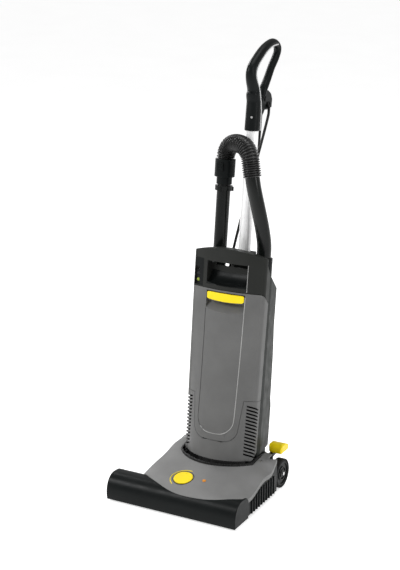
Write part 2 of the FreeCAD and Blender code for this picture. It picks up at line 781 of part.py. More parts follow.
def front_y(x, s):
    # How far forward the body's curved front lies at a place
    half = body_half(s) - corner_round
    bulge = front_bulge(s)
    radius = (half * half + bulge * bulge) / (2 * bulge)
    return corner_y - bulge + radius - math.sqrt(radius * radius - min(abs(x), half) ** 2)


def body_section(s, inset, back_y):
    half = body_half(s) - inset
    flat = body_half(s) - corner_round
    y1 = corner_y + inset
    y2 = corner_y + corner_round
    bend = (flat + (half - flat) * math.sin(math.radians(45)),
            y1 + (y2 - y1) * (1 - math.cos(math.radians(45))))
    left = Vector(-flat, y1, s)
    right = Vector(flat, y1, s)
    edges = [Part.Arc(left, Vector(0, y1 - front_bulge(s), s), right).toShape(),
             Part.Arc(right, Vector(bend[0], bend[1], s), Vector(half, y2, s)).toShape(),
             Part.makeLine(Vector(half, y2, s), Vector(half, back_y, s)),
             Part.makeLine(Vector(half, back_y, s), Vector(-half, back_y, s)),
             Part.makeLine(Vector(-half, back_y, s), Vector(-half, y2, s)),
             Part.Arc(Vector(-half, y2, s), Vector(-bend[0], bend[1], s), left).toShape()]
    return Part.Wire(edges)


def body(inset, back_y, s0, s1, steps):
    levels = [s0 + (s1 - s0) * k / steps for k in range(steps + 1)]
    return Part.makeLoft([body_section(s, inset, back_y) for s in levels], True, False)


def u_panel(half_top, top_s, half_mid, foot_s, corner, y0, y1):
    # A panel outline with straight sides that draw in and a rounded foot
    mid_s = foot_s + corner
    bend = corner * (1 - math.sin(math.radians(45)))
    points = {side: (Vector(side * half_top, y0, top_s), Vector(side * half_mid, y0, mid_s),
                     Vector(side * (half_mid - bend), y0, foot_s + bend),
                     Vector(side * (half_mid - corner), y0, foot_s)) for side in (-1, 1)}
    left = points[-1]
    right = points[1]
    wire = Part.Wire([Part.makeLine(left[0], right[0]), Part.makeLine(right[0], right[1]),
                      Part.Arc(right[1], right[2], right[3]).toShape(), Part.makeLine(right[3], left[3]),
                      Part.Arc(left[3], left[2], left[1]).toShape(), Part.makeLine(left[1], left[0])])
    return Part.Face(wire).extrude(Vector(0, y1 - y0, 0))


def tongue(grow):
    return u_panel(tongue_top_half + grow, side_seam_s + 4, tongue_mid_half + grow, tongue_bottom_s - grow,
                   tongue_corner + grow, far_y, -50)


def hinge_y():
    return front_y(0, hinge_s) + hinge_inset


def latch_space(grow):
    # Pocket behind the latch, with a scoop below it for the fingers
    deep = corner_y + 1.0 + grow
    low = scoop_low_s - grow
    high = latch_high_s + grow
    half = latch_half_width + 2 + grow
    points = [(far_y, low), (front_y(0, low) - 1, low), (deep, latch_low_s - 5), (deep, high), (far_y, high)]
    return side_profile(points, -half, half)


def chamfer_space(gap):
    # Space over the door's sloping top corners, below the cap
    s0 = door_top_s - gap
    s1 = chamfer_low_s - gap
    return side_profile([(corner_y, s0), (far_y, s0), (far_y, s0 + 200), (side_end_y + 30, s0 + 200),
                         (side_end_y + 30, s1), (side_end_y, s1)], -200, 200)


def make_door():
    outer = body(0, side_end_y - cover_gap, tongue_bottom_s - 20, door_top_s, 5)
    inner = body(shell_wall, side_end_y + 20, tongue_bottom_s - 30, door_top_s - shell_wall, 5)
    region = box(-200, 200, far_y, 0, side_seam_s + seam_gap / 2, 700).fuse(tongue(-seam_gap / 2))
    shell = outer.cut(inner)
    pocket_wall = latch_space(shell_wall).common(body(0.5, side_end_y, scoop_low_s - 30, door_top_s, 2))
    shell = shell.fuse(pocket_wall).cut(latch_space(0)).common(region).cut(chamfer_space(0))
    band = u_panel(panel_half, latch_high_s - 4, panel_mid_half, panel_foot_s, panel_corner, far_y, -40)
    band = band.cut(u_panel(panel_half - 2, latch_high_s + 20, panel_mid_half - 2, panel_foot_s + 2,
                            panel_corner - 2, far_y, -40))
    band = band.cut(latch_space(2)).cut(body(panel_groove, 0, tongue_bottom_s, door_top_s + 20, 4))
    shell = shell.cut(band)
    ear = side_profile([(hinge_y() - 3, hinge_s + 22), (hinge_y() + 2.5, hinge_s + 22),
                        (hinge_y() + 3.5, hinge_s), (hinge_y(), hinge_s - 3.5),
                        (hinge_y() - 3.5, hinge_s - 2)],
                       -hinge_half - 5, hinge_half + 5)
    ear = ear.cut(box(-hinge_half, hinge_half, far_y, 0, hinge_s - 10, hinge_s + 30))
    shell = shell.fuse(ear).cut(rod_x(-hinge_half - 7, hinge_half + 7, hinge_y(), hinge_s,
                                      hinge_pin_radius + running_clearance))
    lugs = [box(side * (latch_half_width - 8) - 1.5, side * (latch_half_width - 8) + 1.5, corner_y - 9,
                corner_y + 2, latch_high_s - 9, latch_high_s) for side in (-1, 1)]
    return shell.fuse(lugs).removeSplitter()


def make_latch():
    outer = body(-1.5, side_end_y, latch_low_s - 20, latch_high_s + 20, 2)
    inner = body(latch_thickness - 1.5, side_end_y + 20, latch_low_s - 30, latch_high_s + 30, 2)
    half = latch_half_width
    low = latch_low_s
    top = latch_high_s - 2.5
    a = Vector(-half, far_y, low + 4)
    b = Vector(half, far_y, low + 4)
    wire = Part.Wire([Part.Arc(a, Vector(0, far_y, low - 4), b).toShape(),
                      Part.makeLine(b, Vector(half, far_y, top)),
                      Part.makeLine(Vector(half, far_y, top), Vector(-half, far_y, top)),
                      Part.makeLine(Vector(-half, far_y, top), a)])
    plate = outer.cut(inner).common(Part.Face(wire).extrude(Vector(0, 100, 0)))
    lever = side_profile([(front_y(0, top) + 2, top - 1), (latch_axis_y + 2.5, top - 1),
                          (latch_axis_y + 2.5, top - 7),
                          (front_y(0, top) + 2, top - 12)], -half + 11, half - 11)
    hook = box(-12, 12, latch_axis_y - 2, latch_axis_y + 1.5, top - 3, top + 0.5)
    return plate.fuse([lever, hook]).removeSplitter()


def make_lower_housing():
    outer = body(0, side_end_y - cover_gap, body_bottom_s, side_seam_s - seam_gap / 2, 4)
    inner = body(shell_wall, side_end_y + 20, body_bottom_s + shell_wall, side_seam_s + 20, 4)
    shell = outer.cut(inner).cut(tongue(seam_gap / 2))
    rise = side_profile([(far_y, 0), (corner_y, 0), (corner_y, body_bottom_s - 1),
                         (side_end_y + 5, body_bottom_s + 25),
                         (side_end_y + 5, 0)], -200, 200)
    shell = shell.cut(rise)
    slots = []
    louvre_middle = body_foot_half_width - 12
    for side in (-1, 1):
        for k in range(louvre_count):
            s = louvre_low_s + k * louvre_pitch
            slot = box(-10, 28, -30, 60, -louvre_height / 2, louvre_height / 2)
            slot.Placement = Placement(Vector(side * louvre_middle, corner_y - 16, s),
                                       Rotation(Vector(0, 1, 0), 0 if side > 0 else 180))
            tilt = Placement(Vector(0, 0, 0), Rotation(Vector(1, 0, 0), -louvre_slant_deg),
                             Vector(side * louvre_middle, corner_y - 8, s))
            slot.Placement = tilt.multiply(slot.Placement)
            slots.append(slot.common(box(-200, 200, far_y, side_end_y - 10, 0, 300)))
    shell = shell.cut(slots)
    bar = box(-tongue_mid_half - 6, tongue_mid_half + 6, hinge_y() + 16, hinge_y() + 20, tongue_bottom_s,
              tongue_bottom_s + 24).common(body(1.0, side_end_y, tongue_bottom_s - 20, side_seam_s, 3))
    bar = bar.cut(box(-hinge_half + 6, hinge_half - 6, far_y, 0, 0, side_seam_s))
    shell = shell.cut(rod_x(-hinge_half - 1, hinge_half + 1, hinge_y(), hinge_s, hinge_swing_radius))
    ears = [side_profile([(hinge_y() - 1.7, hinge_s - 1), (hinge_y() - 1.7, hinge_s + 3),
                          (hinge_y() + 17, hinge_s + 8), (hinge_y() + 17, hinge_s + 1),
                          (hinge_y(), hinge_s - 1.85)],
                         side * (hinge_half - 4) - 2, side * (hinge_half - 4) + 2)
            for side in (-1, 1)]
    pin = rod_x(-hinge_half - 6, hinge_half + 6, hinge_y(), hinge_s, hinge_pin_radius)
    return shell.fuse([bar, pin] + ears).removeSplitter()


def arch(drop, y0, y1, low):
    # The cap's outline from the front, with its crowned top
    half = body_half_width + 22.0
    radius_rise = cap_crown_s - cap_corner_s
    edge_s = cap_crown_s - radius_rise * (half / body_half_width) ** 2 - drop
    a = Vector(half, y0, edge_s)
    b = Vector(-half, y0, edge_s)
    wire = Part.Wire([Part.Arc(a, Vector(0, y0, cap_crown_s - drop), b).toShape(),
                      Part.makeLine(b, Vector(-half, y0, low)),
                      Part.makeLine(Vector(-half, y0, low), Vector(half, y0, low)),
                      Part.makeLine(Vector(half, y0, low), a)])
    return Part.Face(wire).extrude(Vector(0, y1 - y0, 0))


def cap_side(inset):
    # The cap's side view, with its thin bar at the top and its cheeks behind the door's corners
    gap = cap_seam + inset
    back = side_end_y - cover_gap - inset
    low = chamfer_low_s + cap_seam + inset * 1.6
    return side_profile([(far_y, door_top_s + gap), (corner_y, door_top_s + gap), (back, low),
                         (back, rear_slope_front_s), (cap_rear_y - inset, cap_waist_s),
                         (cap_rear_y - inset, cap_crown_s + 30), (far_y, cap_crown_s + 30)], -200, 200)


def make_cap():
    outer = body(0, side_end_y, chamfer_low_s - 5, cap_crown_s + 20, 3)
    outer = outer.common(cap_side(0)).common(arch(0, far_y, 0, 300))
    inner = body(shell_wall, side_end_y, chamfer_low_s - 5, cap_crown_s + 20, 3)
    hollow = side_profile([(far_y, door_top_s + cap_seam + shell_wall),
                           (corner_y, door_top_s + cap_seam + shell_wall),
                           (side_end_y + 5, chamfer_low_s + cap_seam + shell_wall + 1),
                           (side_end_y + 5, rear_slope_front_s - 2),
                           (cap_rear_y - shell_wall, cap_waist_s - 3), (cap_rear_y - shell_wall, 700),
                           (far_y, 700)],
                          -200, 200)
    inner = inner.common(hollow).common(arch(shell_wall, far_y, 0, 300))
    shell = outer.cut(inner)
    wall = shell_wall
    pocket = box(-pocket_half_width, pocket_half_width, far_y, pocket_back_y, pocket_low_s, pocket_high_s)
    lining = box(-pocket_half_width - wall, pocket_half_width + wall, far_y, pocket_back_y + wall,
                 pocket_low_s - wall,
                 pocket_high_s + wall)
    shell = shell.fuse(lining.common(outer)).cut(pocket)
    slot = box(-slot_half_width, slot_half_width, pocket_back_y - 10, 0, pocket_high_s - slot_height,
               pocket_high_s)
    slot = slot.cut(box(-slot_rib / 2, slot_rib / 2, -100, 10, 0, 700))
    shell = shell.cut(slot)
    recess = box(switch_x - switch_width / 2, switch_x + switch_width / 2, far_y,
                 front_y(switch_x, switch_low_s) + switch_depth, switch_low_s, switch_high_s)
    bed = box(switch_x - switch_width / 2 - wall, switch_x + switch_width / 2 + wall, far_y,
              front_y(switch_x, switch_low_s) + switch_depth + wall, switch_low_s - wall,
              switch_high_s + wall)
    shell = shell.fuse(bed.common(outer)).cut(recess)
    shell = shell.cut(box(switch_x - 5.2, switch_x + 5.2, far_y, 0, rocker_s - 8.2, rocker_s + 8.2))
    return shell.removeSplitter()


def rear_profile(inset, front):
    lift = inset * 0.6
    return side_profile([(front, rear_bottom_s + inset),
                         (rear_low_y - inset, rear_bottom_s + rear_floor_rise + inset),
                         (rear_low_y - inset, rear_step_s - lift),
                         (rear_mid_y + 5 - inset, rear_step_s + 27 - lift),
                         (rear_mid_y - inset, rear_step_s + 144), (rear_top_y - inset, rear_step_s + 232),
                         (rear_top_y - inset, rear_slope_back_s - inset),
                         (front, rear_slope_front_s - inset)],
                        -200, 200)


def rear_plan(inset, front):
    half = body_half_width - 3 - inset
    back_half = rear_half_width - inset
    deep = rear_low_y + 20
    return plan([(-half, front), (half, front), (half, side_end_y + 18), (back_half, deep),
                 (-back_half, deep),
                 (-half, side_end_y + 18)], -50, 800)


def make_rear_housing():
    front = side_end_y + cover_gap
    wall = shell_wall
    outer = rear_profile(0, front).common(rear_plan(0, front))
    inner = rear_profile(wall, front - 5).common(rear_plan(wall, front - 5))
    spine_back = tube_y + spine_depth
    spine = box(-spine_half_width, spine_half_width, tube_y - tube_radius - 4, spine_back,
                tube_foot_s - 10, spine_top_s)
    spine_cut = side_profile([(-100, rear_slope_front_s - 8), (tube_y - tube_radius - 4, spine_top_s - 26),
                              (tube_y, spine_top_s), (100, spine_top_s), (100, 800), (-100, 800)], -100, 100)
    spine = spine.makeFillet(6.0, [e for e in spine.Edges if e.BoundBox.ZLength > 50])
    shell = outer.cut(inner).fuse(spine.cut(spine_cut))
    dock = rod_s(wand_x, 0, wand_foot_s - 4, rear_slope_front_s, wand_radius + dock_clearance + 2.5)
    seat = rod_s(socket_x, 0, socket_foot_s - 3, rear_slope_front_s, socket_radius + 2.5)
    shell = shell.fuse([dock.common(outer), seat.common(outer)])
    shell = shell.cut(rod_s(wand_x, 0, wand_foot_s - 1, 700, wand_radius + dock_clearance))
    shell = shell.cut(rod_s(socket_x, 0, socket_foot_s, 700, socket_radius + 0.1))
    shell = shell.cut(rod_s(0, tube_y, tube_foot_s - 1, 700, tube_radius + 0.1))
    shell = shell.cut(rod_s(gland_x, gland_y, rear_slope_back_s - 20, 700, gland_radius + 0.1))
    shell = shell.cut(rod(0, rear_mid_y - 20, lower_hook_s, (0, 1, 0),
                          hook_stem_radius + running_clearance, 40))
    boss = rod(0, rear_mid_y - 13, lower_hook_s, (0, 1, 0), hook_stem_radius + 4, 13).common(outer)
    boss = boss.cut(rod(0, rear_mid_y - 20, lower_hook_s, (0, 1, 0), hook_stem_radius + running_clearance,
                        40))
    vents = [box(-50, 50, rear_low_y - 8, rear_low_y + 8, s, s + 4) for s in range(84, 150, 10)]
    shell = shell.cut(rod_s(duct_x - upright_x, duct_y, 0, 100, duct_radius + duct_wall + 0.1))
    ring = pipe_s(clip_x, clip_y, clip_s - 8, clip_s + 8, cord_diameter / 2 + 3, cord_diameter / 2 + 0.15)
    arm = box(clip_x - 3, clip_x + 3, rear_low_y - 1, clip_y - cord_diameter / 2 - 1, clip_s - 8, clip_s + 8)
    return shell.fuse([boss, ring, arm]).cut(vents).removeSplitter()


def axle_place():
    # The wheel axle in the upright's own frame
    reach = wheel_axle_y - upright_y
    return reach * math.cos(math.radians(lean_deg)), reach * math.sin(math.radians(lean_deg))


def make_yoke():
    # Two cheeks round the axle that carry the upright
    axle_y, axle_s = axle_place()
    top = body_bottom_s - 0.3
    duct_hole = rod_s(duct_x - upright_x, duct_y, 0, 200, duct_radius + duct_wall + running_clearance)
    plate = box(-yoke_x, yoke_x, yoke_front_y, yoke_rear_y, top - yoke_plate, top)
    pieces = []
    for side in (-1, 1):
        x = side * yoke_x
        cheek = side_profile([(axle_y - 9, axle_s - 6), (axle_y + 9, axle_s - 6), (yoke_rear_y, top),
                              (yoke_front_y, top), (yoke_front_y, top - yoke_plate)],
                             x - yoke_width / 2, x + yoke_width / 2)
        boss = rod_x(x - yoke_width / 2, x + yoke_width / 2, axle_y, axle_s, axle_radius + 7)
        post = box(min(side * 50, x), max(side * 50, x), side_end_y + 6, yoke_rear_y, top - 1,
                   rear_bottom_s - 0.1)
        pieces += [cheek, boss, post]
    sector = rod_x(yoke_x, yoke_x + sector_width, axle_y, axle_s, sector_radius)
    sector = sector.cut(box(0, 200, axle_y + 4, 200, -100, 200)).cut(box(0, 200, -200, 200, -100, axle_s - 2))
    notch = box(0, 200, axle_y - sector_radius, axle_y - sector_radius + 9, axle_s + 12, axle_s + 100)
    yoke = fuse(plate, *(pieces + [sector.cut(notch)]))
    return yoke.cut(rod_x(-200, 200, axle_y, axle_s, axle_radius + running_clearance)).cut(duct_hole)


def rear_floor_s(y):
    # Top of the rear housing's sloping floor
    front = side_end_y + cover_gap
    return rear_bottom_s + rear_floor_rise * (y - front) / (rear_low_y - front) + shell_wall + 0.4


def make_motor():
    # Suction motor, its fan and the frame that holds them under the bag
    low = rear_bottom_s + shell_wall + 0.3
    motor_low = low + 14
    motor_top = motor_low + 64
    motor = rod_s(0, motor_y, motor_low, motor_top, motor_radius)
    save_upright("suction_motor", motor.cut(rod_s(0, motor_y, motor_low + 26, motor_top + 1,
                                                  fan_shaft_radius + running_clearance)))
    fan_low = motor_top + 3
    fan = rod_s(0, motor_y, fan_low, fan_low + 12, motor_radius - 6)
    shaft = rod_s(0, motor_y, motor_low + 27, fan_low + 19, fan_shaft_radius)
    blades = []
    for k in range(fan_blade_count):
        blade = box(fan_shaft_radius - 1, motor_radius - 8, -1, 1, fan_low + 11, fan_low + 18)
        blade.Placement = Placement(Vector(0, motor_y, 0),
                                    Rotation(Vector(0, 0, 1), 360 * k / fan_blade_count))
        blades.append(blade)
    save_upright("impeller", fuse(fan, shaft, *blades))
    room = body(shell_wall + 0.3, rear_low_y, low, shelf_s + shelf_thickness, 1)
    room = room.common(rear_plan(shell_wall + 0.3, far_y))
    shelf = room.common(box(-200, 200, far_y, rear_mid_y - 12, shelf_s, shelf_s + shelf_thickness))
    shelf = shelf.cut(rod_s(0, motor_y, 0, 400, motor_radius - 10))
    cradle = pipe_s(0, motor_y, low, motor_low - 0.1, motor_radius, motor_radius - 12)
    cradle = cradle.cut(box(-200, 200, -200, side_end_y + 2, 0, 200))
    pillars = [box(x - 4, x + 4, y - 4, y + 4, low, shelf_s + 1) for x, y in
               ((-60, side_end_y + 6), (60, side_end_y + 6), (-60, 24), (60, 24))]
    ties = [box(-60, 60, side_end_y + 2.5, side_end_y + 7.5, low, low + 5),
            box(-60, 60, 18, 22, low, low + 5)]
    floor = side_profile([(-80, 0), (-80, rear_floor_s(-80)), (80, rear_floor_s(80)), (80, 0)], -200, 200)
    frame = fuse(shelf, cradle, *(pillars + ties)).cut(floor)
    frame = frame.cut(rod_s(duct_x - upright_x, duct_y, 0, 400, duct_radius + duct_wall + 0.1))
    save_upright("motor_frame", frame)


def make_air_path():
    # Riser behind the bag, its elbow into the bag, and the two filters
    x = duct_x - upright_x
    outer = duct_radius + duct_wall
    riser = rod_s(x, duct_y, duct_foot_s, duct_top_s, outer)
    elbow = rod(x, duct_y, duct_top_s, (0, -1, 0), outer, duct_y - bag_back_y - 0.3)
    knee = Part.makeSphere(outer, Vector(x, duct_y, duct_top_s))
    duct = fuse(riser, elbow, knee)
    duct = duct.cut(rod_s(x, duct_y, duct_foot_s - 1, duct_top_s, duct_radius))
    duct = duct.cut(rod(x, duct_y, duct_top_s, (0, -1, 0), duct_radius, 60))
    save_upright("air_duct", duct)
    plate = box(x - 45, x + 31, bag_back_y + 0.6, bag_back_y + 4, duct_top_s - 30, duct_top_s + 18)
    clamps = [box(x0, x0 + 6, bag_back_y + 3, rear_top_y - shell_wall - 0.1, duct_top_s - 30, duct_top_s - 22)
              for x0 in (x - 43, x + 23)]
    holder = fuse(plate, *clamps)
    save_upright("bag_holder", holder.cut(rod(x, duct_y, duct_top_s, (0, -1, 0), outer + 0.05, 60)))
    filter_low = shelf_s + shelf_thickness + 0.1
    save_upright("motor_filter", box(-50, 50, motor_y - 40, 2.5, filter_low, filter_low + filter_thickness))
    back = rear_low_y - shell_wall - 0.1
    save_upright("exhaust_filter", box(-52, 52, back - 17, back, 82, 156))
    low = filter_low + filter_thickness + 0.3
    profile = side_profile([(-60, low), (-68, low + 50), (-68, bag_top_s - 60), (-56, bag_top_s - 26),
                            (-50, bag_top_s), (-14, bag_top_s), (bag_back_y, bag_top_s - 6),
                            (bag_back_y, low)], -bag_half_width, bag_half_width)
    front_edges = [e for e in profile.Edges if e.CenterOfMass.y < -52 and abs(e.CenterOfMass.x) > 1]
    save_upright("dust_bag", profile.makeFillet(9.0, front_edges))


def round_path(points, radii):
    # Straight runs joined by tangent arcs
    stations = [Vector(*p) for p in points]
    edges = []
    start = stations[0]
    for before, corner, after, radius in zip(stations, stations[1:], stations[2:], radii):
        a = (before - corner).normalize()
        b = (after - corner).normalize()
        turn = math.pi - a.getAngle(b)
        reach = radius * math.tan(turn / 2)
        first = corner + a * reach
        last = corner + b * reach
        inward = (a + b).normalize()
        middle = corner + inward * (radius / math.cos(turn / 2) - radius)
        if start.distanceToPoint(first) > 0.001:
            edges.append(Part.makeLine(start, first))
        edges.append(Part.Arc(first, middle, last).toShape())
        start = last
    edges.append(Part.makeLine(start, stations[-1]))
    return Part.Wire(edges)


def sweep_round(wire, radius):
    first = wire.Edges[0]
    start = first.valueAt(first.FirstParameter)
    heading = first.tangentAt(first.FirstParameter)
    return wire.makePipeShell([Part.Wire([Part.Circle(start, heading, radius).toShape()])], True, False)


def oval(centre, along, half_across, half_deep):
    # An oval in the plane square to a direction in the side view
    across = Vector(1, 0, 0)
    deep = along.cross(across).normalize()
    if abs(half_across - half_deep) < 0.01:
        return Part.Wire([Part.Circle(centre, along, half_across).toShape()])
    ends = (across * half_across, deep * half_deep)
    if half_across < half_deep:
        ends = (ends[1], ends[0])
    return Part.Wire([Part.Ellipse(centre + ends[0], centre + ends[1], centre).toShape()])


def make_handle():
    tube = pipe_s(0, tube_y, tube_foot_s, tube_top_s, tube_radius, tube_radius - tube_wall)
    save_upright("handle_tube", tube)
    loop = grip_loop(0)
    sleeve = Part.makeCone(sleeve_radius, sleeve_top_radius, sleeve_top_s - sleeve_bottom_s,
                           Vector(0, tube_y - 2, sleeve_bottom_s))
    grip = loop.fuse(sleeve).cut(rod_s(0, tube_y, sleeve_bottom_s - 1, tube_top_s + 0.3, tube_radius + 0.1))
    grip = grip.removeSplitter()
    hook = cord_hook().cut(grip)
    hook = max(hook.Solids, key=lambda solid: solid.Volume)
    trim = grip_loop(trim_rise).common(box(-trim_half, trim_half, -300, 300, 900, 1300))
    inner = side_profile([(y, rise) for y, rise, across, deep in grip_line[2:]], -10, 10)
    seam = box(-trim_half, trim_half, tube_y, 60, sleeve_bottom_s + 2, hook_s - 20)
    grown = Part.makeCone(sleeve_radius + trim_rise, sleeve_top_radius + trim_rise,
                          sleeve_top_s - sleeve_bottom_s, Vector(0, tube_y - 2, sleeve_bottom_s))
    trim = trim.common(inner).fuse(seam.common(grown)).cut(loop).cut(sleeve).cut(hook)
    save_upright("grip", grip)
    save_upright("cable_hook", hook)
    save_upright("grip_trim", group([solid for solid in trim.Solids if solid.Volume > 20]))


def grip_loop(grow):
    rings = []
    for k, (y, rise, across, deep) in enumerate(grip_line):
        ahead = grip_line[min(k + 1, len(grip_line) - 1)]
        behind = grip_line[max(k - 1, 0)]
        along = Vector(0, ahead[0] - behind[0], ahead[1] - behind[1]).normalize()
        if k == 0:
            along = Vector(0, 0, 1)
        rings.append(oval(Vector(0, y, rise), along, across + grow, deep + grow))
    return Part.makeLoft(rings, True, False)


def cord_hook():
    # A plate with a lip over a round stem that the cord runs over
    y = tube_y - 2 + sleeve_radius
    plate = side_profile([(y, hook_s - 34), (y - 1.4, hook_s + 46), (58, hook_s + 50), (80, hook_s + 46),
                          (80, hook_s + 17), (74, hook_s + 3), (66, hook_s - 12), (46, hook_s - 30)],
                         -hook_plate_half, hook_plate_half)
    lip = side_profile([(66, hook_s + 49), (80, hook_s + 46), (98, hook_s + 37), (107, hook_s + 22),
                        (106, hook_s), (98, hook_s), (96, hook_s + 12), (90, hook_s + 17), (66, hook_s + 17)],
                       -hook_half_width, hook_half_width)
    stem = rod(0, y + 3, hook_s, (0, 1, 0), hook_stem_radius, hook_stem_end_y - y - 3)
    return fuse(plate, lip, stem)


def make_lower_hook():
    stem = rod(0, rear_mid_y - 13, lower_hook_s, (0, 1, 0), hook_stem_radius, 33)
    collar = rod(0, rear_mid_y + 1.6, lower_hook_s, (0, 1, 0), hook_stem_radius + 4, 5)
    lip = box(-hook_half_width, hook_half_width, rear_mid_y + 18, rear_mid_y + 24, lower_hook_s - 34,
              lower_hook_s + 10)
    lip = lip.makeFillet(3.0, [e for e in lip.Edges if e.BoundBox.YLength > 5])
    save_upright("lower_hook", fuse(stem, collar, lip))


def make_wand():
    tube = pipe_s(wand_x, 0, wand_foot_s, neck_low_s, wand_radius, wand_radius - wand_wall)
    ring = pipe_s(wand_x, 0, wand_top_s, wand_top_s + 13, wand_radius + 5.5, wand_radius - 0.5)
    lugs = []
    for turn in (30, 150, 270):
        lug = box(wand_radius, wand_radius + 8, -4, 4, wand_top_s - 1, wand_top_s + 10)
        lug.Placement = Placement(Vector(wand_x, 0, 0), Rotation(Vector(0, 0, 1), turn))
        lugs.append(lug)
    save_upright("wand_tube", fuse(tube, ring, *lugs))
    neck = rod_s(wand_x, 0, neck_low_s + 0.1, cuff_low_s + 1, wand_radius + 2.5)
    cuff = rod_s(wand_x, 0, cuff_low_s, cuff_high_s, cuff_radius)
    cuff = cuff.makeFillet(1.5, circles(cuff, cuff_radius))
    frame = box(wand_x - 9, wand_x + 9, -cuff_radius - 3, 0, button_s - 10, button_s + 10)
    cuff = fuse(cuff, neck, frame)
    cuff = cuff.cut(rod_s(wand_x, 0, hose_foot_s, cuff_high_s + 1, hose_radius + 0.3))
    cuff = cuff.cut(rod_s(wand_x, 0, 700, 900, wand_radius - wand_wall))
    half = button_half
    hole = box(wand_x - half - running_clearance, wand_x + half + running_clearance, -cuff_radius - 5, 0,
               button_s - half - running_clearance, button_s + half + running_clearance)
    save_upright("hose_cuff", cuff.cut(hole))
    face = -cuff_radius - 3.6
    save_upright("cuff_button", box(wand_x - half, wand_x + half, face, face + 3, button_s - half,
                                    button_s + half))


def hose_line():
    # Middle line of the ribbed hose from inside the cuff to past the top of the curved pipe
    start = Vector(wand_x, 0, hose_foot_s)
    corner = Vector(wand_x, 0, hose_peak_s)
    over = Vector(*hose_over)
    end = Vector(*hose_end)
    return round_path([start, corner, over, end], [hose_bend_radius, hose_bend_radius])


def wire_stations(wire, step):
    # Even places along a wire, with the way it heads there
    places = []
    length = wire.Length
    count = int(round(length / step))
    edges = wire.OrderedEdges
    for k in range(count + 1):
        left = length * k / count
        for edge in edges:
            if left <= edge.Length + 1e-6:
                break
            left -= edge.Length
        left = min(left, edge.Length)
        at = edge.getParameterByLength(left)
        if edge.Orientation == "Reversed":
            at = edge.getParameterByLength(edge.Length - left)
        heading = edge.tangentAt(at)
        if edge.Orientation == "Reversed":
            heading = heading * -1
        places.append((edge.valueAt(at), heading))
    return places


def make_hose():
    line = hose_line()
    count = int(line.Length / rib_pitch)
    places = wire_stations(line, line.Length / (count * rib_steps))
    radii = (hose_valley, hose_radius, hose_radius, hose_valley)
    across = Vector(0, 1, 0)
    rings = []
    for k, (place, heading) in enumerate(places):
        across = across - heading * across.dot(heading)
        across.normalize()
        ring = Part.Circle(place, heading, radii[k % rib_steps])
        ring.XAxis = across
        rings.append(Part.Wire([ring.toShape()]))
    ribbed = Part.makeLoft(rings, True, True)
    bore = sweep_round(line, hose_bore)
    save_upright("ribbed_hose", ribbed.cut(bore))
    print("hose ribs", count, "length", round(line.Length, 1), "ring axis drift",
          round(math.degrees(across.getAngle(Vector(0, 1, 0))), 1))


def make_pipe():
    points = [Vector(*hose_over) + (Vector(*hose_end) - Vector(*hose_over)) * share for share in (0.62, 1.30)]
    points += [Vector(*p) for p in pipe_bends] + [Vector(socket_x, 0, 632),
                                                  Vector(socket_x, 0, socket_foot_s + 11.2)]
    radii = even_radii(points)
    line = round_path(points, radii)
    bore = sweep_round(line, pipe_radius - pipe_wall)
    save_upright("curved_pipe", sweep_round(line, pipe_radius).cut(bore))
    collar = pipe_s(socket_x, 0, socket_foot_s + 0.1, socket_top_s, socket_radius, pipe_radius + 0.1)
    rims = [e for e in circles(collar, socket_radius) if e.CenterOfMass.z > socket_top_s - 1]
    collar = collar.makeFillet(1.5, rims)
    floor = pipe_s(socket_x, 0, socket_foot_s + 0.1, socket_foot_s + 11, pipe_radius + 1,
                   pipe_radius - pipe_wall)
    save_upright("pipe_socket", collar.fuse(floor).removeSplitter())
    print("curved pipe radii", [round(r) for r in radii])


def make_neck_hose():
    # Short hose from the nozzle's port to the foot of the riser
    foot = to_world(Vector(duct_x - upright_x, duct_y, duct_foot_s - 0.1))
    port_end = nozzle_back_y + duct_port_length + 0.1
    slope = math.tan(math.radians(lean_deg))
    corner = Vector(duct_x, foot.y - (foot.z - duct_z) * slope, duct_z)
    line = round_path([Vector(duct_x, port_end, duct_z), corner, foot], [neck_bend_radius])
    outer = sweep_round(line, duct_radius + duct_wall)
    save("neck_hose", outer.cut(sweep_round(line, duct_radius)))


def to_world(place):
    return lean.multVec(place)


def even_radii(points, hook_radii=None):
    # Each arc as large as the two runs beside it allow, unless it goes round something
    radii = []
    hook_radii = hook_radii or {}
    for k in range(1, len(points) - 1):
        a = points[k - 1] - points[k]
        b = points[k + 1] - points[k]
        turn = math.pi - a.getAngle(b)
        radii.append(hook_radii.get(k, 0.45 * min(a.Length, b.Length) / math.tan(turn / 2)))
    return radii


def save_cord(node, points, hook_radii, keep):
    radii = even_radii(points, hook_radii)
    line = round_path(points, radii)
    tube = sweep_round(line, cord_diameter / 2)
    keep(node, tube)
    section = math.pi * cord_diameter ** 2 / 4
    print(node, "length", round(line.Length, 1), "radii", [round(r) for r in radii],
          "volume over section x length",
          round(tube.Volume / (section * line.Length), 4))
    return line.Length


def biarc(start, start_way, end, end_way):
    # Two arcs that leave and arrive along the given ways
    span = end - start
    ways = start_way + end_way
    den = 2 * (1 - start_way.dot(end_way))
    b = 2 * span.dot(ways)
    reach = (-b + math.sqrt(b * b + 4 * den * span.dot(span))) / (2 * den)
    middle = (start + start_way * reach + end - end_way * reach) * 0.5

    def through(a, way, c):
        chord = c - a
        inward = way.cross(chord).cross(way).normalize()
        radius = chord.dot(chord) / (2 * chord.dot(inward))
        centre = a + inward * radius
        out = ((a + c) * 0.5 - centre).normalize()
        return centre + out * radius, radius

    first, first_radius = through(start, start_way, middle)
    last, last_radius = through(end, end_way * -1, middle)
    return ([Part.Arc(start, first, middle).toShape(), Part.Arc(middle, last, end).toShape()],
            min(first_radius, last_radius))


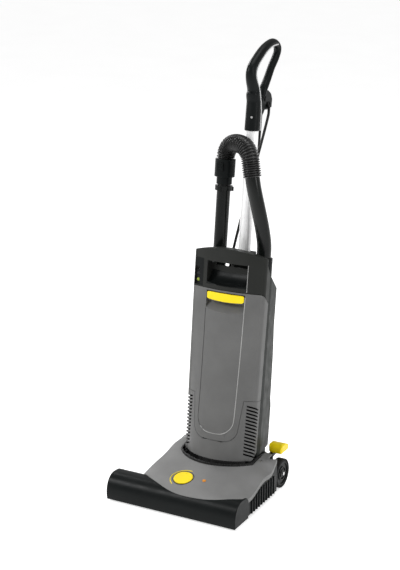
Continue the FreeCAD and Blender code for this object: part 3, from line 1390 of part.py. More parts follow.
def coil_place(turns):
    # Where the coil's cord lies after so many turns: it winds in and out and climbs where it reverses
    layer = int(min(turns // coil_turns_per_layer, coil_layers - 1))
    within = turns - layer * coil_turns_per_layer
    wound = (turns + coil_climb / 2) % (2 * coil_turns_per_layer)
    inward = min(wound, 2 * coil_turns_per_layer - wound)
    radius = coil_mean_radius + coil_half_spread - coil_pitch * inward
    height = layer * coil_layer_rise
    climb = (within - coil_turns_per_layer + coil_climb) / coil_climb
    if climb > 0 and layer < coil_layers - 1:
        height += coil_layer_rise * climb * climb * (3 - 2 * climb)
    angle = 2 * math.pi * turns
    return Vector(coil_x + radius * math.cos(angle), coil_y + radius * math.sin(angle),
                  coil_lift + cord_diameter / 2 + height)


def coil_way(turns):
    step = 0.0001
    return (coil_place(turns + step) - coil_place(turns - step)).normalize()


def make_coil():
    edges = []
    tightest = 1000.0
    stops = [k * coil_step for k in range(int(coil_turns / coil_step) + 1)]
    if coil_turns - stops[-1] > 0.01:
        stops.append(coil_turns)
    stops[0] = 0.001
    for a, b in zip(stops, stops[1:]):
        pair, radius = biarc(coil_place(a), coil_way(a), coil_place(b), coil_way(b))
        edges += pair
        tightest = min(tightest, radius)
    line = Part.Wire(edges)
    tube = sweep_round(line, cord_diameter / 2)
    save("cord_coil", tube)
    section = math.pi * cord_diameter ** 2 / 4
    print("cord_coil length", round(line.Length, 1), "tightest radius", round(tightest, 1),
          "volume over section x length", round(tube.Volume / (section * line.Length), 4),
          "least gap to itself", round(coil_self_gap(stops), 2))
    return line.Length


def coil_self_gap(stops):
    # Least free space between turns, on points along the middle line
    per_turn = 72
    total = int(stops[-1] * per_turn)
    points = [coil_place(max(k / per_turn, 0.001)) for k in range(total + 1)]
    least = 1000.0
    for k, place in enumerate(points):
        for other in range(k + per_turn // 2, total + 1):
            step = (other - k) % per_turn
            if min(step, per_turn - step) <= 2:
                least = min(least, place.distanceToPoint(points[other]))
    return least - cord_diameter


def make_cords():
    wrap = hook_stem_radius + cord_diameter / 2 + 0.1
    over_s = hook_s + wrap
    top_y = hook_stem_end_y - 6
    run = [Vector(gland_x, gland_y, gland_top_s), Vector(gland_x, gland_y, gland_top_s + 32),
           Vector(wrap, top_y, hook_s - 32), Vector(wrap, top_y, over_s), Vector(-wrap, top_y, over_s)]
    run += [Vector(*p) for p in cord_down] + [Vector(clip_x, clip_y, clip_s - 12)]
    length = save_cord("cord_run", run, {3: wrap, 4: wrap}, save_upright)
    start = to_world(run[-1])
    down = to_world(run[-1] - Vector(0, 0, 42))
    landing = coil_place(0.001)
    fall = [start, down] + [Vector(*p) for p in cord_landing]
    fall += [landing - coil_way(0.001) * 33, landing]
    length += save_cord("cord_fall", fall, {}, save)
    length += make_coil()
    end = coil_place(coil_turns)
    way = coil_way(coil_turns)
    out = Vector(way.y, -way.x, 0)
    way = Vector(way.x, way.y, 0).normalize()
    plug_z = plug_radius + 0.5
    tail = [end, end + coil_way(coil_turns) * 34, end + way * 72 + out * 3, end + way * 108 + out * 3]
    tail[2].z = plug_z
    tail[3].z = plug_z
    heading = (tail[3] - tail[2])
    heading.z = 0
    heading.normalize()
    length += save_cord("cord_tail", tail, {}, save)
    make_plug(tail[3], (tail[3] - tail[2]).normalize())
    print("cord in all", round(length / 1000, 2), "m")
    inner = coil_mean_radius - coil_half_spread - cord_diameter / 2
    outer = 2 * coil_mean_radius - inner
    top = coil_lift + (coil_layers - 1) * coil_layer_rise + cord_diameter
    strap = box(coil_x - 6, coil_x + 6, coil_y - outer - 0.5 - strap_thickness,
                coil_y - inner + 1.0 + strap_thickness, 0, top + 0.4 + strap_thickness)
    gap = box(coil_x - 7, coil_x + 7, coil_y - outer - 0.5, coil_y - inner + 1.0, strap_thickness, top + 0.4)
    save("cord_tie", strap.cut(gap))


def make_plug(at, way):
    relief = Part.makeCone(cord_diameter / 2 + 0.8, cord_diameter / 2 + 3, 28, at, way)
    neck = Part.makeCone(plug_radius - 6, plug_radius - 1, 14, at + way * 28, way)
    front = Part.makeCylinder(plug_radius - 0.5, 22, at + way * 42, way)
    side = way.cross(Vector(0, 0, 1)).normalize()
    pins = [Part.makeCylinder(2.4, 20, at + way * 63 + side * offset, way) for offset in (-9.5, 9.5)]
    save("plug", fuse(relief, neck, front, *pins))


def make_fittings():
    # Gland, switch, lens, screws and hinge pin
    slope_s = rear_slope_back_s + (rear_slope_front_s - rear_slope_back_s) * (rear_top_y - gland_y) / (
        rear_top_y - side_end_y)
    gland = rod_s(gland_x, gland_y, rear_slope_back_s - 12, slope_s + 6, gland_radius)
    relief = Part.makeCone(gland_radius, cord_diameter / 2 + 0.9, gland_top_s - 0.1 - slope_s - 6,
                           Vector(gland_x, gland_y, slope_s + 6))
    save_upright("cord_gland", gland.fuse(relief).removeSplitter())
    bed_y = front_y(switch_x, switch_low_s) + switch_depth
    pivot_y = bed_y + 1.5
    rocker = side_profile([(pivot_y - 5.5, rocker_s - 7), (pivot_y - 3, rocker_s),
                           (pivot_y - 5.5, rocker_s + 7),
                           (pivot_y + 3, rocker_s + 7), (pivot_y + 6, rocker_s), (pivot_y + 3, rocker_s - 7)],
                          switch_x - 5, switch_x + 5)
    save_upright("switch_rocker", rocker)
    save_upright("indicator_lens", rod(switch_x, bed_y - 3, lens_s, (0, 1, 0), 4.0, 2.9))
    screws = [rod(side * (rear_half_width - 12), rear_low_y, s, (0, 1, 0), 4.0, 1.5)
              for side in (-1, 1) for s in (80, 160)]
    turn = math.radians(grip_screw_turn_deg)
    out = (math.sin(turn), -math.cos(turn), 0)
    reach = sleeve_radius - 0.45
    screws.append(rod(reach * out[0], tube_y - 2 + reach * out[1], grip_screw_s, out, 3.0, 2.4))
    save_upright("housing_screws", group(screws))


make_head()
make_brush()
make_motor_pulley()
make_wheels()
make_dial()
make_carriage()
make_pedal()

lean = Placement(Vector(upright_x, upright_y, wheel_radius), Rotation(Vector(1, 0, 0), -lean_deg))
save_upright("front_door", make_door())
save_upright("door_latch", make_latch())
save_upright("lower_housing", make_lower_housing())
save_upright("rear_housing", make_rear_housing())
save_upright("top_cap", make_cap())
save_upright("pivot_yoke", make_yoke())
make_motor()
make_air_path()
make_fittings()
make_handle()
make_lower_hook()
make_wand()
make_hose()
make_pipe()
make_neck_hose()
make_cords()

for node in upright_nodes:
    parts[node].Placement = lean.multiply(parts[node].Placement)
corners = [p for node, shape in parts.items() if node not in cord_nodes for p in shape.tessellate(0.5)[0]]
middle_x = (max(p.x for p in corners) + min(p.x for p in corners)) / 2
middle_y = (max(p.y for p in corners) + min(p.y for p in corners)) / 2
low_z = min(p.z for p in corners)
to_middle = Placement(Vector(-middle_x, -middle_y, -low_z), Rotation())
for node in parts:
    parts[node].Placement = to_middle.multiply(parts[node].Placement)
print("moved by", round(-middle_x, 3), round(-middle_y, 3), round(-low_z, 3))

os.makedirs("parts", exist_ok=True)
for node, shape in parts.items():
    shape.exportStep("parts/" + node + ".step")
    print(node, shape.isValid(), len(shape.Solids), round(shape.Volume / 1000, 1))
print(len(parts), "nodes")
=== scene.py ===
import math

import bpy
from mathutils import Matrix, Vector
from mathutils.bvhtree import BVHTree


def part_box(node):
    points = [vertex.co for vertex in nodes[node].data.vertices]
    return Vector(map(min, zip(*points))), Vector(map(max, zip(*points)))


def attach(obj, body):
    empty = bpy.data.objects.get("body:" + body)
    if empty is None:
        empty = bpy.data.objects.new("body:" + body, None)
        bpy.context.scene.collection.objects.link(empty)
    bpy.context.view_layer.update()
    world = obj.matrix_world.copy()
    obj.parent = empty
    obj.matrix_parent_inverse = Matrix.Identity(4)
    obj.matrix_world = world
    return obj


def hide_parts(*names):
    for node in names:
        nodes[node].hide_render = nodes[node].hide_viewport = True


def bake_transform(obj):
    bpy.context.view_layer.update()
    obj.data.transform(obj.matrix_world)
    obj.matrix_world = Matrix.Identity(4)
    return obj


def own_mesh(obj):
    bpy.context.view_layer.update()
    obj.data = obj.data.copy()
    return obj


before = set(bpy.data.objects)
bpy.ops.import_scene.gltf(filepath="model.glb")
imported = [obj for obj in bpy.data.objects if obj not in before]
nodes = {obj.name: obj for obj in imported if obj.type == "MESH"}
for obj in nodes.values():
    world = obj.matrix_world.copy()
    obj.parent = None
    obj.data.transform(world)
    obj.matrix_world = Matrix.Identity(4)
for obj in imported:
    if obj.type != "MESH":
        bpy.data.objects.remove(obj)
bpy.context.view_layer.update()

lean = math.radians(7.15)
foot = Vector((0.033, -0.010213, 0.04085))
along = Vector((0.0, math.sin(lean), math.cos(lean)))
back = Vector((0.0, math.cos(lean), -math.sin(lean)))
head_shift = Vector((0.0, -0.106813, 0.0))


def up(x, y, s):
    """A place in the upright's own millimetres, across, back and up along its lean, in the row frame."""
    return foot + Vector((x / 1000, 0, 0)) + back * (y / 1000) + along * (s / 1000)


def head(x, y, z):
    """A place given in the head's own millimetres, in the row frame."""
    return Vector((x, y, z)) / 1000 + head_shift


# Camera

camera_data = bpy.data.cameras.new("camera")
camera_data.sensor_fit = "VERTICAL"
camera_data.sensor_height = 36.0
camera_data.lens = 90.97
camera_data.clip_end = 120.0
camera = bpy.data.objects.new("camera", camera_data)
camera.location = (1.7196, -3.2641, 1.7178)
target = Vector((0.00052, -0.10938, 0.59204))
camera.rotation_euler = (target - camera.location).to_track_quat("-Z", "Y").to_euler()
bpy.context.collection.objects.link(camera)
bpy.context.scene.camera = camera


# Materials


class Nodes:
    """A new material's node tree, with short calls for the nodes it needs."""

    def __init__(self, name):
        self.material = bpy.data.materials.new(name)
        self.material.use_nodes = True
        self.tree = self.material.node_tree
        self.shader = self.tree.nodes["Principled BSDF"]
        self.place = self.add("ShaderNodeTexCoord").outputs["Object"]

    def add(self, kind, **values):
        node = self.tree.nodes.new(kind)
        for key, value in values.items():
            setattr(node, key, value)
        return node

    def link(self, out, into):
        self.tree.links.new(out, into)

    def noise(self, scale, detail=2.0, stretch=(1, 1, 1)):
        mapping = self.add("ShaderNodeMapping")
        mapping.inputs["Scale"].default_value = stretch
        self.link(self.place, mapping.inputs["Vector"])
        node = self.add("ShaderNodeTexNoise")
        node.inputs["Scale"].default_value = scale
        node.inputs["Detail"].default_value = detail
        self.link(mapping.outputs[0], node.inputs["Vector"])
        return node.outputs["Fac"]

    def ramp(self, value, low, high, low_at=0.3, high_at=0.7):
        node = self.add("ShaderNodeValToRGB")
        stops = node.color_ramp.elements
        stops[0].position, stops[1].position = low_at, high_at
        stops[0].color = (*low, 1) if hasattr(low, "__len__") else (low, low, low, 1)
        stops[1].color = (*high, 1) if hasattr(high, "__len__") else (high, high, high, 1)
        self.link(value, node.inputs["Fac"])
        return node.outputs["Color"]

    def bump(self, value, strength, distance, normal=None):
        node = self.add("ShaderNodeBump")
        node.inputs["Strength"].default_value = strength
        node.inputs["Distance"].default_value = distance
        self.link(value, node.inputs["Height"])
        if normal is not None:
            self.link(normal, node.inputs["Normal"])
        return node.outputs["Normal"]


def shade(colour, factor):
    return tuple(min(c * factor, 1.0) for c in colour)


def plastic(name, colour, rough=0.45, grain=900.0, grain_depth=0.35, specular=0.45, coat=0.0):
    """Moulded plastic with spark-eroded grain, faint handling marks and a little uneven gloss."""
    n = Nodes(name)
    n.link(n.ramp(n.noise(14.0, 4.0), shade(colour, 0.9), shade(colour, 1.09)), n.shader.inputs["Base Color"])
    n.link(n.ramp(n.noise(38.0, 5.0), rough - 0.06, rough + 0.07), n.shader.inputs["Roughness"])
    edge = n.add("ShaderNodeBevel", samples=4)
    edge.inputs["Radius"].default_value = 0.0009
    fine = n.bump(n.noise(grain, 2.0), grain_depth, 0.00006, edge.outputs["Normal"])
    n.link(n.bump(n.noise(60.0, 3.0, (1, 1, 0.15)), 0.12, 0.0001, fine), n.shader.inputs["Normal"])
    n.shader.inputs["Specular IOR Level"].default_value = specular
    n.shader.inputs["Coat Weight"].default_value = coat
    n.shader.inputs["Coat Roughness"].default_value = 0.25
    return n.material


def metal(name, colour, rough=0.3, brushed=(1, 1, 1), scale=400.0, polish=1.0):
    """Bare metal with fine marks drawn out along one way."""
    n = Nodes(name)
    marks = n.noise(scale, 4.0, brushed)
    n.link(n.ramp(marks, shade(colour, 0.93), shade(colour, 1.03)), n.shader.inputs["Base Color"])
    n.link(n.ramp(marks, rough - 0.04, rough + 0.06), n.shader.inputs["Roughness"])
    n.link(n.bump(marks, 0.15, 0.00004), n.shader.inputs["Normal"])
    n.shader.inputs["Metallic"].default_value = polish
    return n.material


def rubber(name, colour, rough=0.7, grain=500.0, specular=0.25):
    """Soft rubber or cord sheath with dusty, uneven gloss."""
    n = Nodes(name)
    n.link(n.ramp(n.noise(30.0, 5.0), shade(colour, 0.8), shade(colour, 1.5)), n.shader.inputs["Base Color"])
    n.link(n.ramp(n.noise(90.0, 3.0), rough - 0.12, rough + 0.08), n.shader.inputs["Roughness"])
    n.link(n.bump(n.noise(grain, 3.0), 0.3, 0.0001), n.shader.inputs["Normal"])
    n.shader.inputs["Specular IOR Level"].default_value = specular
    return n.material


def lens(name, colour, painted_glow):
    """Translucent moulded lens with ribs, and a faint painted glow of its own colour."""
    n = Nodes(name)
    ribs = n.noise(700.0, 1.0)
    n.link(n.ramp(ribs, shade(colour, 0.7), shade(colour, 1.1)), n.shader.inputs["Base Color"])
    n.link(n.bump(ribs, 0.4, 0.0001), n.shader.inputs["Normal"])
    n.shader.inputs["Roughness"].default_value = 0.18
    n.shader.inputs["Transmission Weight"].default_value = 0.25
    n.shader.inputs["Emission Color"].default_value = (*colour, 1)
    # Painted glow: the lens gives off light of its own, with no lamp shining behind it
    n.shader.inputs["Emission Strength"].default_value = painted_glow
    return n.material


def fleece(name, colour, scale=1200.0):
    """Pressed fibre with a soft sheen."""
    n = Nodes(name)
    fibre = n.noise(scale, 6.0, (1, 1, 0.3))
    n.link(n.ramp(fibre, shade(colour, 0.82), shade(colour, 1.06)), n.shader.inputs["Base Color"])
    n.link(n.bump(fibre, 0.6, 0.0004), n.shader.inputs["Normal"])
    n.shader.inputs["Roughness"].default_value = 0.95
    n.shader.inputs["Sheen Weight"].default_value = 0.3
    return n.material


def winding(name, colour):
    """Painted motor can with a cast skin."""
    n = Nodes(name)
    skin = n.noise(260.0, 5.0)
    n.link(n.ramp(skin, shade(colour, 0.75), shade(colour, 1.1)), n.shader.inputs["Base Color"])
    n.link(n.bump(skin, 0.5, 0.0003), n.shader.inputs["Normal"])
    n.shader.inputs["Roughness"].default_value = 0.5
    n.shader.inputs["Metallic"].default_value = 0.6
    return n.material


black = plastic("black", (0.005, 0.0062, 0.0062), 0.34, specular=0.1)
gloss_black = plastic("gloss_black", (0.004, 0.005, 0.0045), 0.2, grain_depth=0.1, specular=0.2, coat=0.1)
cap_plastic = plastic("cap", (0.014, 0.015, 0.0135), 0.38, specular=0.18)
rear_plastic = plastic("rear", (0.017, 0.0195, 0.0175), 0.5, grain_depth=0.5, specular=0.12)
body_grey = plastic("body_grey", (0.106, 0.106, 0.1045), 0.46, specular=0.3)
cover_grey = plastic("cover_grey", (0.163, 0.163, 0.161), 0.46, specular=0.32)
yellow = plastic("yellow", (0.86, 0.66, 0.004), 0.36, grain_depth=0.2, specular=0.3, coat=0.05)
silver = metal("silver", (0.97, 0.97, 0.97), 0.3, (1, 1, 0.02), polish=0.25)
trim = plastic("trim", (0.5, 0.5, 0.5), 0.3, grain_depth=0.1)
# Light grey for painted highlight lines along edges that catch the light
painted_highlight_grey = plastic("painted_highlight_grey", (0.3, 0.3, 0.295), 0.3)
steel = metal("steel", (0.58, 0.58, 0.58), 0.3, (1, 0.05, 1))
sheath = rubber("sheath", (0.007, 0.007, 0.007), 0.45)
soft_rubber = rubber("soft_rubber", (0.007, 0.007, 0.007), 0.3, specular=0.45)
tread = rubber("tread", (0.012, 0.0125, 0.0125), 0.82, 260.0, specular=0.12)
bristle = plastic("bristle", (0.03, 0.03, 0.03), 0.6, 1500.0)
bag_fleece = fleece("bag_fleece", (0.62, 0.58, 0.5))
filter_fleece = fleece("filter_fleece", (0.72, 0.72, 0.7))
# Painted glow strengths of the lamp and indicator lenses
amber = lens("amber", (0.8, 0.33, 0.05), 0.12)
lime = lens("lime", (0.4, 0.5, 0.05), 0.04)
motor_paint = winding("motor_paint", (0.25, 0.25, 0.25))

finishes = {
    black: ("nozzle_housing", "head_chassis", "pedal_lever", "pivot_yoke", "height_carriage", "cable_hook",
            "lower_hook", "hose_cuff", "cuff_button", "pipe_socket", "motor_frame", "bag_holder", "air_duct",
            "plug", "wheel_hub_left", "wheel_hub_right", "brush_roller", "switch_rocker", "grip"),
    gloss_black: ("wand_tube", "curved_pipe"),
    cap_plastic: ("top_cap",),
    rear_plastic: ("rear_housing",),
    body_grey: ("lower_housing", "front_door"),
    cover_grey: ("head_cover",),
    yellow: ("height_dial", "foot_pedal", "door_latch"),
    silver: ("handle_tube", "impeller"),
    trim: ("grip_trim",),
    steel: ("wheel_axle", "pedal_pin", "housing_screws", "cover_screws", "brush_bearings", "motor_pulley",
            "sole_plate"),
    motor_paint: ("suction_motor", "brush_motor"),
    soft_rubber: ("neck_seal", "drive_belt", "cord_gland", "cord_tie", "front_rollers"),
    tread: ("tyre_left", "tyre_right"),
    bristle: ("brush_bristles",),
    filter_fleece: ("motor_filter", "exhaust_filter"),
    amber: ("lamp_lens",),
    lime: ("indicator_lens",),
}
for material, names in finishes.items():
    for name in names:
        slots = nodes[name].material_slots
        for k in range(len(slots)):
            slots[k].material = material
        if not slots:
            nodes[name].data.materials.append(material)


# Ways to make a piece


def cord_piece(name, places, material, thickness, resolution=12):
    """A round cord along one smooth line with these places as its control points."""
    curve = bpy.data.curves.new(name, "CURVE")
    curve.dimensions = "3D"
    spline = curve.splines.new("NURBS")
    spline.points.add(len(places) - 1)
    for point, place in zip(spline.points, places):
        point.co = (*place, 1)
    spline.order_u = 3
    spline.use_endpoint_u = True
    spline.resolution_u = resolution
    curve.bevel_depth = thickness / 2
    curve.bevel_resolution = 5
    curve.use_fill_caps = True
    piece = bpy.data.objects.new(name, curve)
    piece.data.materials.append(material)
    bpy.context.collection.objects.link(piece)
    return piece


def line_of(places):
    """Closely spaced points on the smooth line that has these places as its control points."""
    curve = cord_piece("line", places, sheath, 0.0, 40)
    curve.data.bevel_depth = 0
    bpy.context.view_layer.update()
    mesh = bpy.data.meshes.new_from_object(curve)
    points = [v.co.copy() for v in mesh.vertices]
    bpy.data.objects.remove(curve)
    bpy.data.meshes.remove(mesh)
    return points


def even(points, count):
    """That many even steps along the line: each place, with the way the line heads there."""
    reach = [0.0]
    for a, b in zip(points, points[1:]):
        reach.append(reach[-1] + (b - a).length)
    places = []
    k = 0
    for step in range(count + 1):
        goal = reach[-1] * step / count
        while k < len(points) - 2 and reach[k + 1] < goal:
            k += 1
        share = (goal - reach[k]) / max(reach[k + 1] - reach[k], 1e-9)
        places.append((points[k].lerp(points[k + 1], share), (points[k + 1] - points[k]).normalized()))
    return places


def mesh_piece(name, vertices, faces, material):
    """A smooth-shaded mesh from its places and faces."""
    mesh = bpy.data.meshes.new(name)
    mesh.from_pydata(vertices, [], faces)
    mesh.polygons.foreach_set("use_smooth", [True] * len(faces))
    mesh.materials.append(material)
    piece = bpy.data.objects.new(name, mesh)
    bpy.context.collection.objects.link(piece)
    return piece


def ribbed_tube(name, places, ribs, valley, crest, material, per_rib=8, sides=56):
    """A hose whose wall swells into rounded ribs along a smooth line."""
    stations = even(line_of(places), ribs * per_rib)
    vertices = []
    rib_fullness = 0.55
    across = Vector((1, 0.3, 0.1))
    for k, (place, way) in enumerate(stations):
        across = (across - way * across.dot(way)).normalized()
        other = way.cross(across)
        swell = 0.5 - 0.5 * math.cos(2 * math.pi * k / per_rib)
        radius = valley + (crest - valley) * swell ** rib_fullness
        for j in range(sides):
            angle = 2 * math.pi * j / sides
            vertices.append(place + (across * math.cos(angle) + other * math.sin(angle)) * radius)
    faces = []
    for ring in range(0, (len(stations) - 1) * sides, sides):
        for j in range(sides):
            j_next = (j + 1) % sides
            faces.append((ring + j, ring + j_next, ring + sides + j_next, ring + sides + j))
    return mesh_piece(name, vertices, faces, material)


def strip(name, rings, material, body):
    """A skin through rows of places, each row as long as the last."""
    width = len(rings[0])
    vertices = [place for ring in rings for place in ring]
    faces = [(r * width + k, r * width + k + 1, (r + 1) * width + k + 1, (r + 1) * width + k)
             for r in range(len(rings) - 1) for k in range(width - 1)]
    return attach(mesh_piece(name, vertices, faces, material), body)


def softened(node, name, material, voxel, wave):
    """A soft copy of a closed node: remeshed, relaxed and drawn into shallow folds."""
    piece = bpy.data.objects.new(name, nodes[node].data.copy())
    bpy.context.collection.objects.link(piece)
    remesh = piece.modifiers.new("remesh", "REMESH")
    remesh.mode = "VOXEL"
    remesh.voxel_size = voxel
    relax = piece.modifiers.new("relax", "SMOOTH")
    relax.iterations = 12
    bpy.context.view_layer.update()
    mesh = bpy.data.meshes.new_from_object(piece.evaluated_get(bpy.context.evaluated_depsgraph_get()))
    piece.modifiers.clear()
    piece.data = mesh
    middle = sum((v.co for v in mesh.vertices), Vector()) / len(mesh.vertices)
    for v in mesh.vertices:
        out = (v.co - middle).normalized()
        fold = math.sin(v.co.z * 95 + 3 * math.sin(v.co.x * 40)) * math.cos(v.co.x * 70 + v.co.y * 50)
        v.co -= out * wave * (0.55 + 0.45 * fold)
    mesh.polygons.foreach_set("use_smooth", [True] * len(mesh.polygons))
    mesh.materials.clear()
    mesh.materials.append(material)
    return piece


def tree_of(node):
    """The node's surface, to cast rays at."""
    return BVHTree.FromObject(nodes[node], bpy.context.evaluated_depsgraph_get())


# Mains cord

cord_width = 0.0075
run_places = [(-46, 30, 558), (-46, 30, 590), (11.2, 86, 965), (11.2, 86, 987.4), (11.2, 86, 996.6),
              (4.6, 86, 1003.2), (-4.6, 86, 1003.2), (-11.2, 86, 996.6), (-11.2, 86, 985), (-11.5, 86.5, 915),
              (-14.5, 87, 812), (-19, 87.5, 708), (-24, 87.5, 604), (-28.5, 87, 500), (-32, 86, 398),
              (-34, 85, 300), (-34, 83.5, 215), (-32, 81, 158), (-32, 81, 118)]
cord_run = cord_piece("handle_cord", [up(*p) for p in run_places], sheath, cord_width)
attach(cord_run, "upright")
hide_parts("cord_run")

fall_places = [(1, 191.7, 147.9), (1, 186.4, 106.2), (-3, 198, 56), (-8, 233, 16), (-14, 282, 5.5),
               (-19.6, 327.6, 5.2), (-20.2, 360.6, 5.2)]
fall_line = [head(*p) for p in fall_places]
cord_fall = ribbed_tube("falling_cord", fall_line, 30, cord_width / 2, cord_width / 2, sheath, 4, 20)
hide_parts("cord_fall")
line_of(fall_line)
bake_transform(cord_fall)

# The coil, in the head's millimetres
coil_x, coil_y, coil_floor_z = -110, 360, 5.25
coil_outer_radius = 91.8
coil_pitch = 8.1
coil_layer_rise = 8.0
coil_layers = 4
coil_turns = 23.125
turns_a_layer = 6
climb_turns = 0.5
points_a_turn = 24


def coil_place(turns):
    """Where the coil's cord lies after so many turns: it winds in and out and climbs where it reverses."""
    layer = int(min(turns // turns_a_layer, coil_layers - 1))
    wound = (turns + climb_turns / 2) % (2 * turns_a_layer)
    inward = min(wound, 2 * turns_a_layer - wound)
    radius = coil_outer_radius - coil_pitch * inward
    height = coil_layer_rise * layer
    climb = (turns - turns_a_layer * layer - turns_a_layer + climb_turns) / climb_turns
    if climb > 0 and layer < coil_layers - 1:
        height += coil_layer_rise * climb * climb * (3 - 2 * climb)
    angle = 2 * math.pi * turns
    return head(coil_x + radius * math.cos(angle), coil_y + radius * math.sin(angle), coil_floor_z + height)


coil_places = [coil_place(max(k / points_a_turn, 0.001)) for k in range(int(coil_turns * points_a_turn) + 1)]
coil_places.append(coil_place(coil_turns))
cord_coil = cord_piece("coiled_cord", coil_places, sheath, cord_width, 4)
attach(cord_coil, "head")
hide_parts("cord_coil")

tail_places = [(-48.7, 421.3, 29.2), (-72.3, 445.7, 29.2), (-96.7, 475.1, 19.0), (-121.7, 500.9, 19.0)]
cord_tail = cord_piece("plug_cord", [head(*p) for p in tail_places], sheath, cord_width)
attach(cord_tail, "head")
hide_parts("cord_tail")


# Ribbed hose, dust bag, grip and neck hose

# One leg of the hose sits in the cuff, the other on the pipe, with a bow between them
hose_places = [(-66, 0, 806), (-66, 0, 835.9), (-66, 0, 872.3), (-42.9, -11.2, 898), (1.4, -32.5, 898),
               (24.9, -41, 876.5), (30.7, -39.4, 844.3), (36, -38, 815.3)]
hose = ribbed_tube("bent_hose", [up(*p) for p in hose_places], 40, 0.0195, 0.0249, soft_rubber)
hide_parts("ribbed_hose")
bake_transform(hose)

bag = softened("dust_bag", "soft_dust_bag", bag_fleece, 0.004, 0.003)
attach(bag, "upright")
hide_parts("dust_bag")

grip = softened("grip", "smooth_grip", black, 0.0015, 0.0)
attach(grip, "upright")
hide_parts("grip")

neck = softened("neck_hose", "soft_neck_hose", soft_rubber, 0.002, 0.0)
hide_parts("neck_hose")
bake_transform(neck)


# Painted highlight: a light grey line up the sleeve and along the inner edge of the grip's front limb

# Middle of the limb seen from the side, with half its width across and half its depth, in millimetres
limb = ((14, 1010, 19.4, 19.4), (8, 1040, 17.3, 17), (-8, 1066, 15, 16), (-14, 1090, 13.5, 14.5),
        (9, 1116, 13, 13.5), (48, 1144, 12.5, 12.5), (84, 1160, 12, 11.5), (118, 1163, 11.5, 10.5),
        (138, 1148, 11, 9.5))
across_share = 0.97
edge_line_width = 0.0036
edge_places = [up(20.4, 21.6, 934), up(20.2, 21.4, 965), up(19.6, 21.1, 995)]
for before, here, after in zip(limb, limb[1:], limb[2:]):
    y_way, s_way = after[0] - before[0], after[1] - before[1]
    size = math.hypot(y_way, s_way)
    reach = here[3] * math.sqrt(1 - across_share ** 2) / size
    edge_places.append(up(here[2] * across_share, here[0] + s_way * reach, here[1] - y_way * reach))
# The trim's light grey stands in for the highlight along these edges
edge_line = cord_piece("grip_painted_highlight_line", edge_places, trim, edge_line_width)
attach(edge_line, "upright")


# Rubber gaiter from the opening's seal to the body's underside

cover_tree = tree_of("head_cover")


def on_cover(x, y, lift=0.0):
    """The place on the cover's top over x and y, in metres in the row frame."""
    place = cover_tree.ray_cast(Vector((x, y, 0.3)), Vector((0, 0, -1)))[0]
    return place + Vector((0, 0, lift))


def body_bottom(y):
    """How high the underside of the upright's body is at rest at that y, in the row frame."""
    return 0.0929866 - 0.1255 * y


gaiter_middle = head(33.0, 115.04, 0)
gaiter_rim_radius = 0.1415
gaiter_top_radius = 0.1165
gaiter_top_gap = 0.0008
gaiter_least_rise = 0.001
# Radius of each fold, and its drop below the cover
gaiter_folds = ((0.1346, 0.004), (0.1305, 0.0085), (0.1265, 0.0075), (0.1225, 0.0085), (0.119, 0.003))
gaiter_rows = []
for degrees in range(-52, 53, 2):
    turn = math.radians(degrees)
    way = Vector((math.sin(turn), -math.cos(turn), 0))
    rim = on_cover(*(gaiter_middle + way * gaiter_rim_radius).xy)
    row = []
    for radius, drop in gaiter_folds:
        place = gaiter_middle + way * radius
        place.z = rim.z - drop
        row.append(place)
    top = gaiter_middle + way * gaiter_top_radius
    top.z = max(body_bottom(top.y) - gaiter_top_gap, row[-1].z + gaiter_least_rise)
    gaiter_rows.append(row + [top])
gaiter = strip("neck_gaiter", gaiter_rows, soft_rubber, "head")
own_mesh(gaiter)


# Latch, switch window, carry pocket and painted highlight lines of the body, in the upright's millimetres

# The latch's lower edge sags less than its solid's, and its corners are round
latch_half, latch_top, latch_middle, latch_corner = 55.0, 503.5, 493.7, 5.0
solid_low, solid_sag = 476, 8
latch_low, latch_sag = 481, 3
latch = softened("door_latch", "smooth_latch", yellow, 0.0008, 0.0)
for v in latch.data.vertices:
    x, rise = (v.co - foot).x * 1000, (v.co - foot).dot(along) * 1000
    outward = min(abs(x) / latch_half, 1.0)
    past = min(max(abs(x) - latch_half + latch_corner, 0.0), latch_corner)
    lost = latch_corner - math.sqrt(latch_corner ** 2 - past ** 2)
    if rise > latch_middle:
        share = 1 - lost / (latch_top - latch_middle)
    else:
        solid_height = latch_middle - solid_low - solid_sag * outward ** 2
        share = (latch_middle - latch_low - latch_sag * outward ** 2 - lost) / solid_height
    v.co += along * (share - 1) * (rise - latch_middle) / 1000
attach(latch, "latch")
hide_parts("door_latch")

outside_y = -200
cap_tree = tree_of("top_cap")
cap_low_s, cap_high_s = 514, 592


def on_cap(x, s, lift=0.0):
    """The place on the cap's front at that x and s, drawn straight over its pockets too."""
    low = cap_tree.ray_cast(up(x, outside_y, cap_low_s), back)[0]
    high = cap_tree.ray_cast(up(x, outside_y, cap_high_s), back)[0]
    return low.lerp(high, (s - cap_low_s) / (cap_high_s - cap_low_s)) - back * lift / 1000


# Dark window round the switch's recess, which stays open
window_columns = (-103, -99, -95, -90, -85, -79, -73)
window_levels = (514, 516, 564, 577, 589)
recess_row, recess_right = 1, -85
window_lift = 0.35
window_places = [on_cap(x, s, window_lift) for s in window_levels for x in window_columns]
window_faces = []
for row in range(len(window_levels) - 1):
    for column in range(len(window_columns) - 1):
        if row == recess_row and window_columns[column + 1] <= recess_right:
            continue
        low = row * len(window_columns) + column
        high = low + len(window_columns)
        window_faces.append((low, low + 1, high + 1, high))
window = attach(mesh_piece("switch_window", window_places, window_faces, black), "upright")

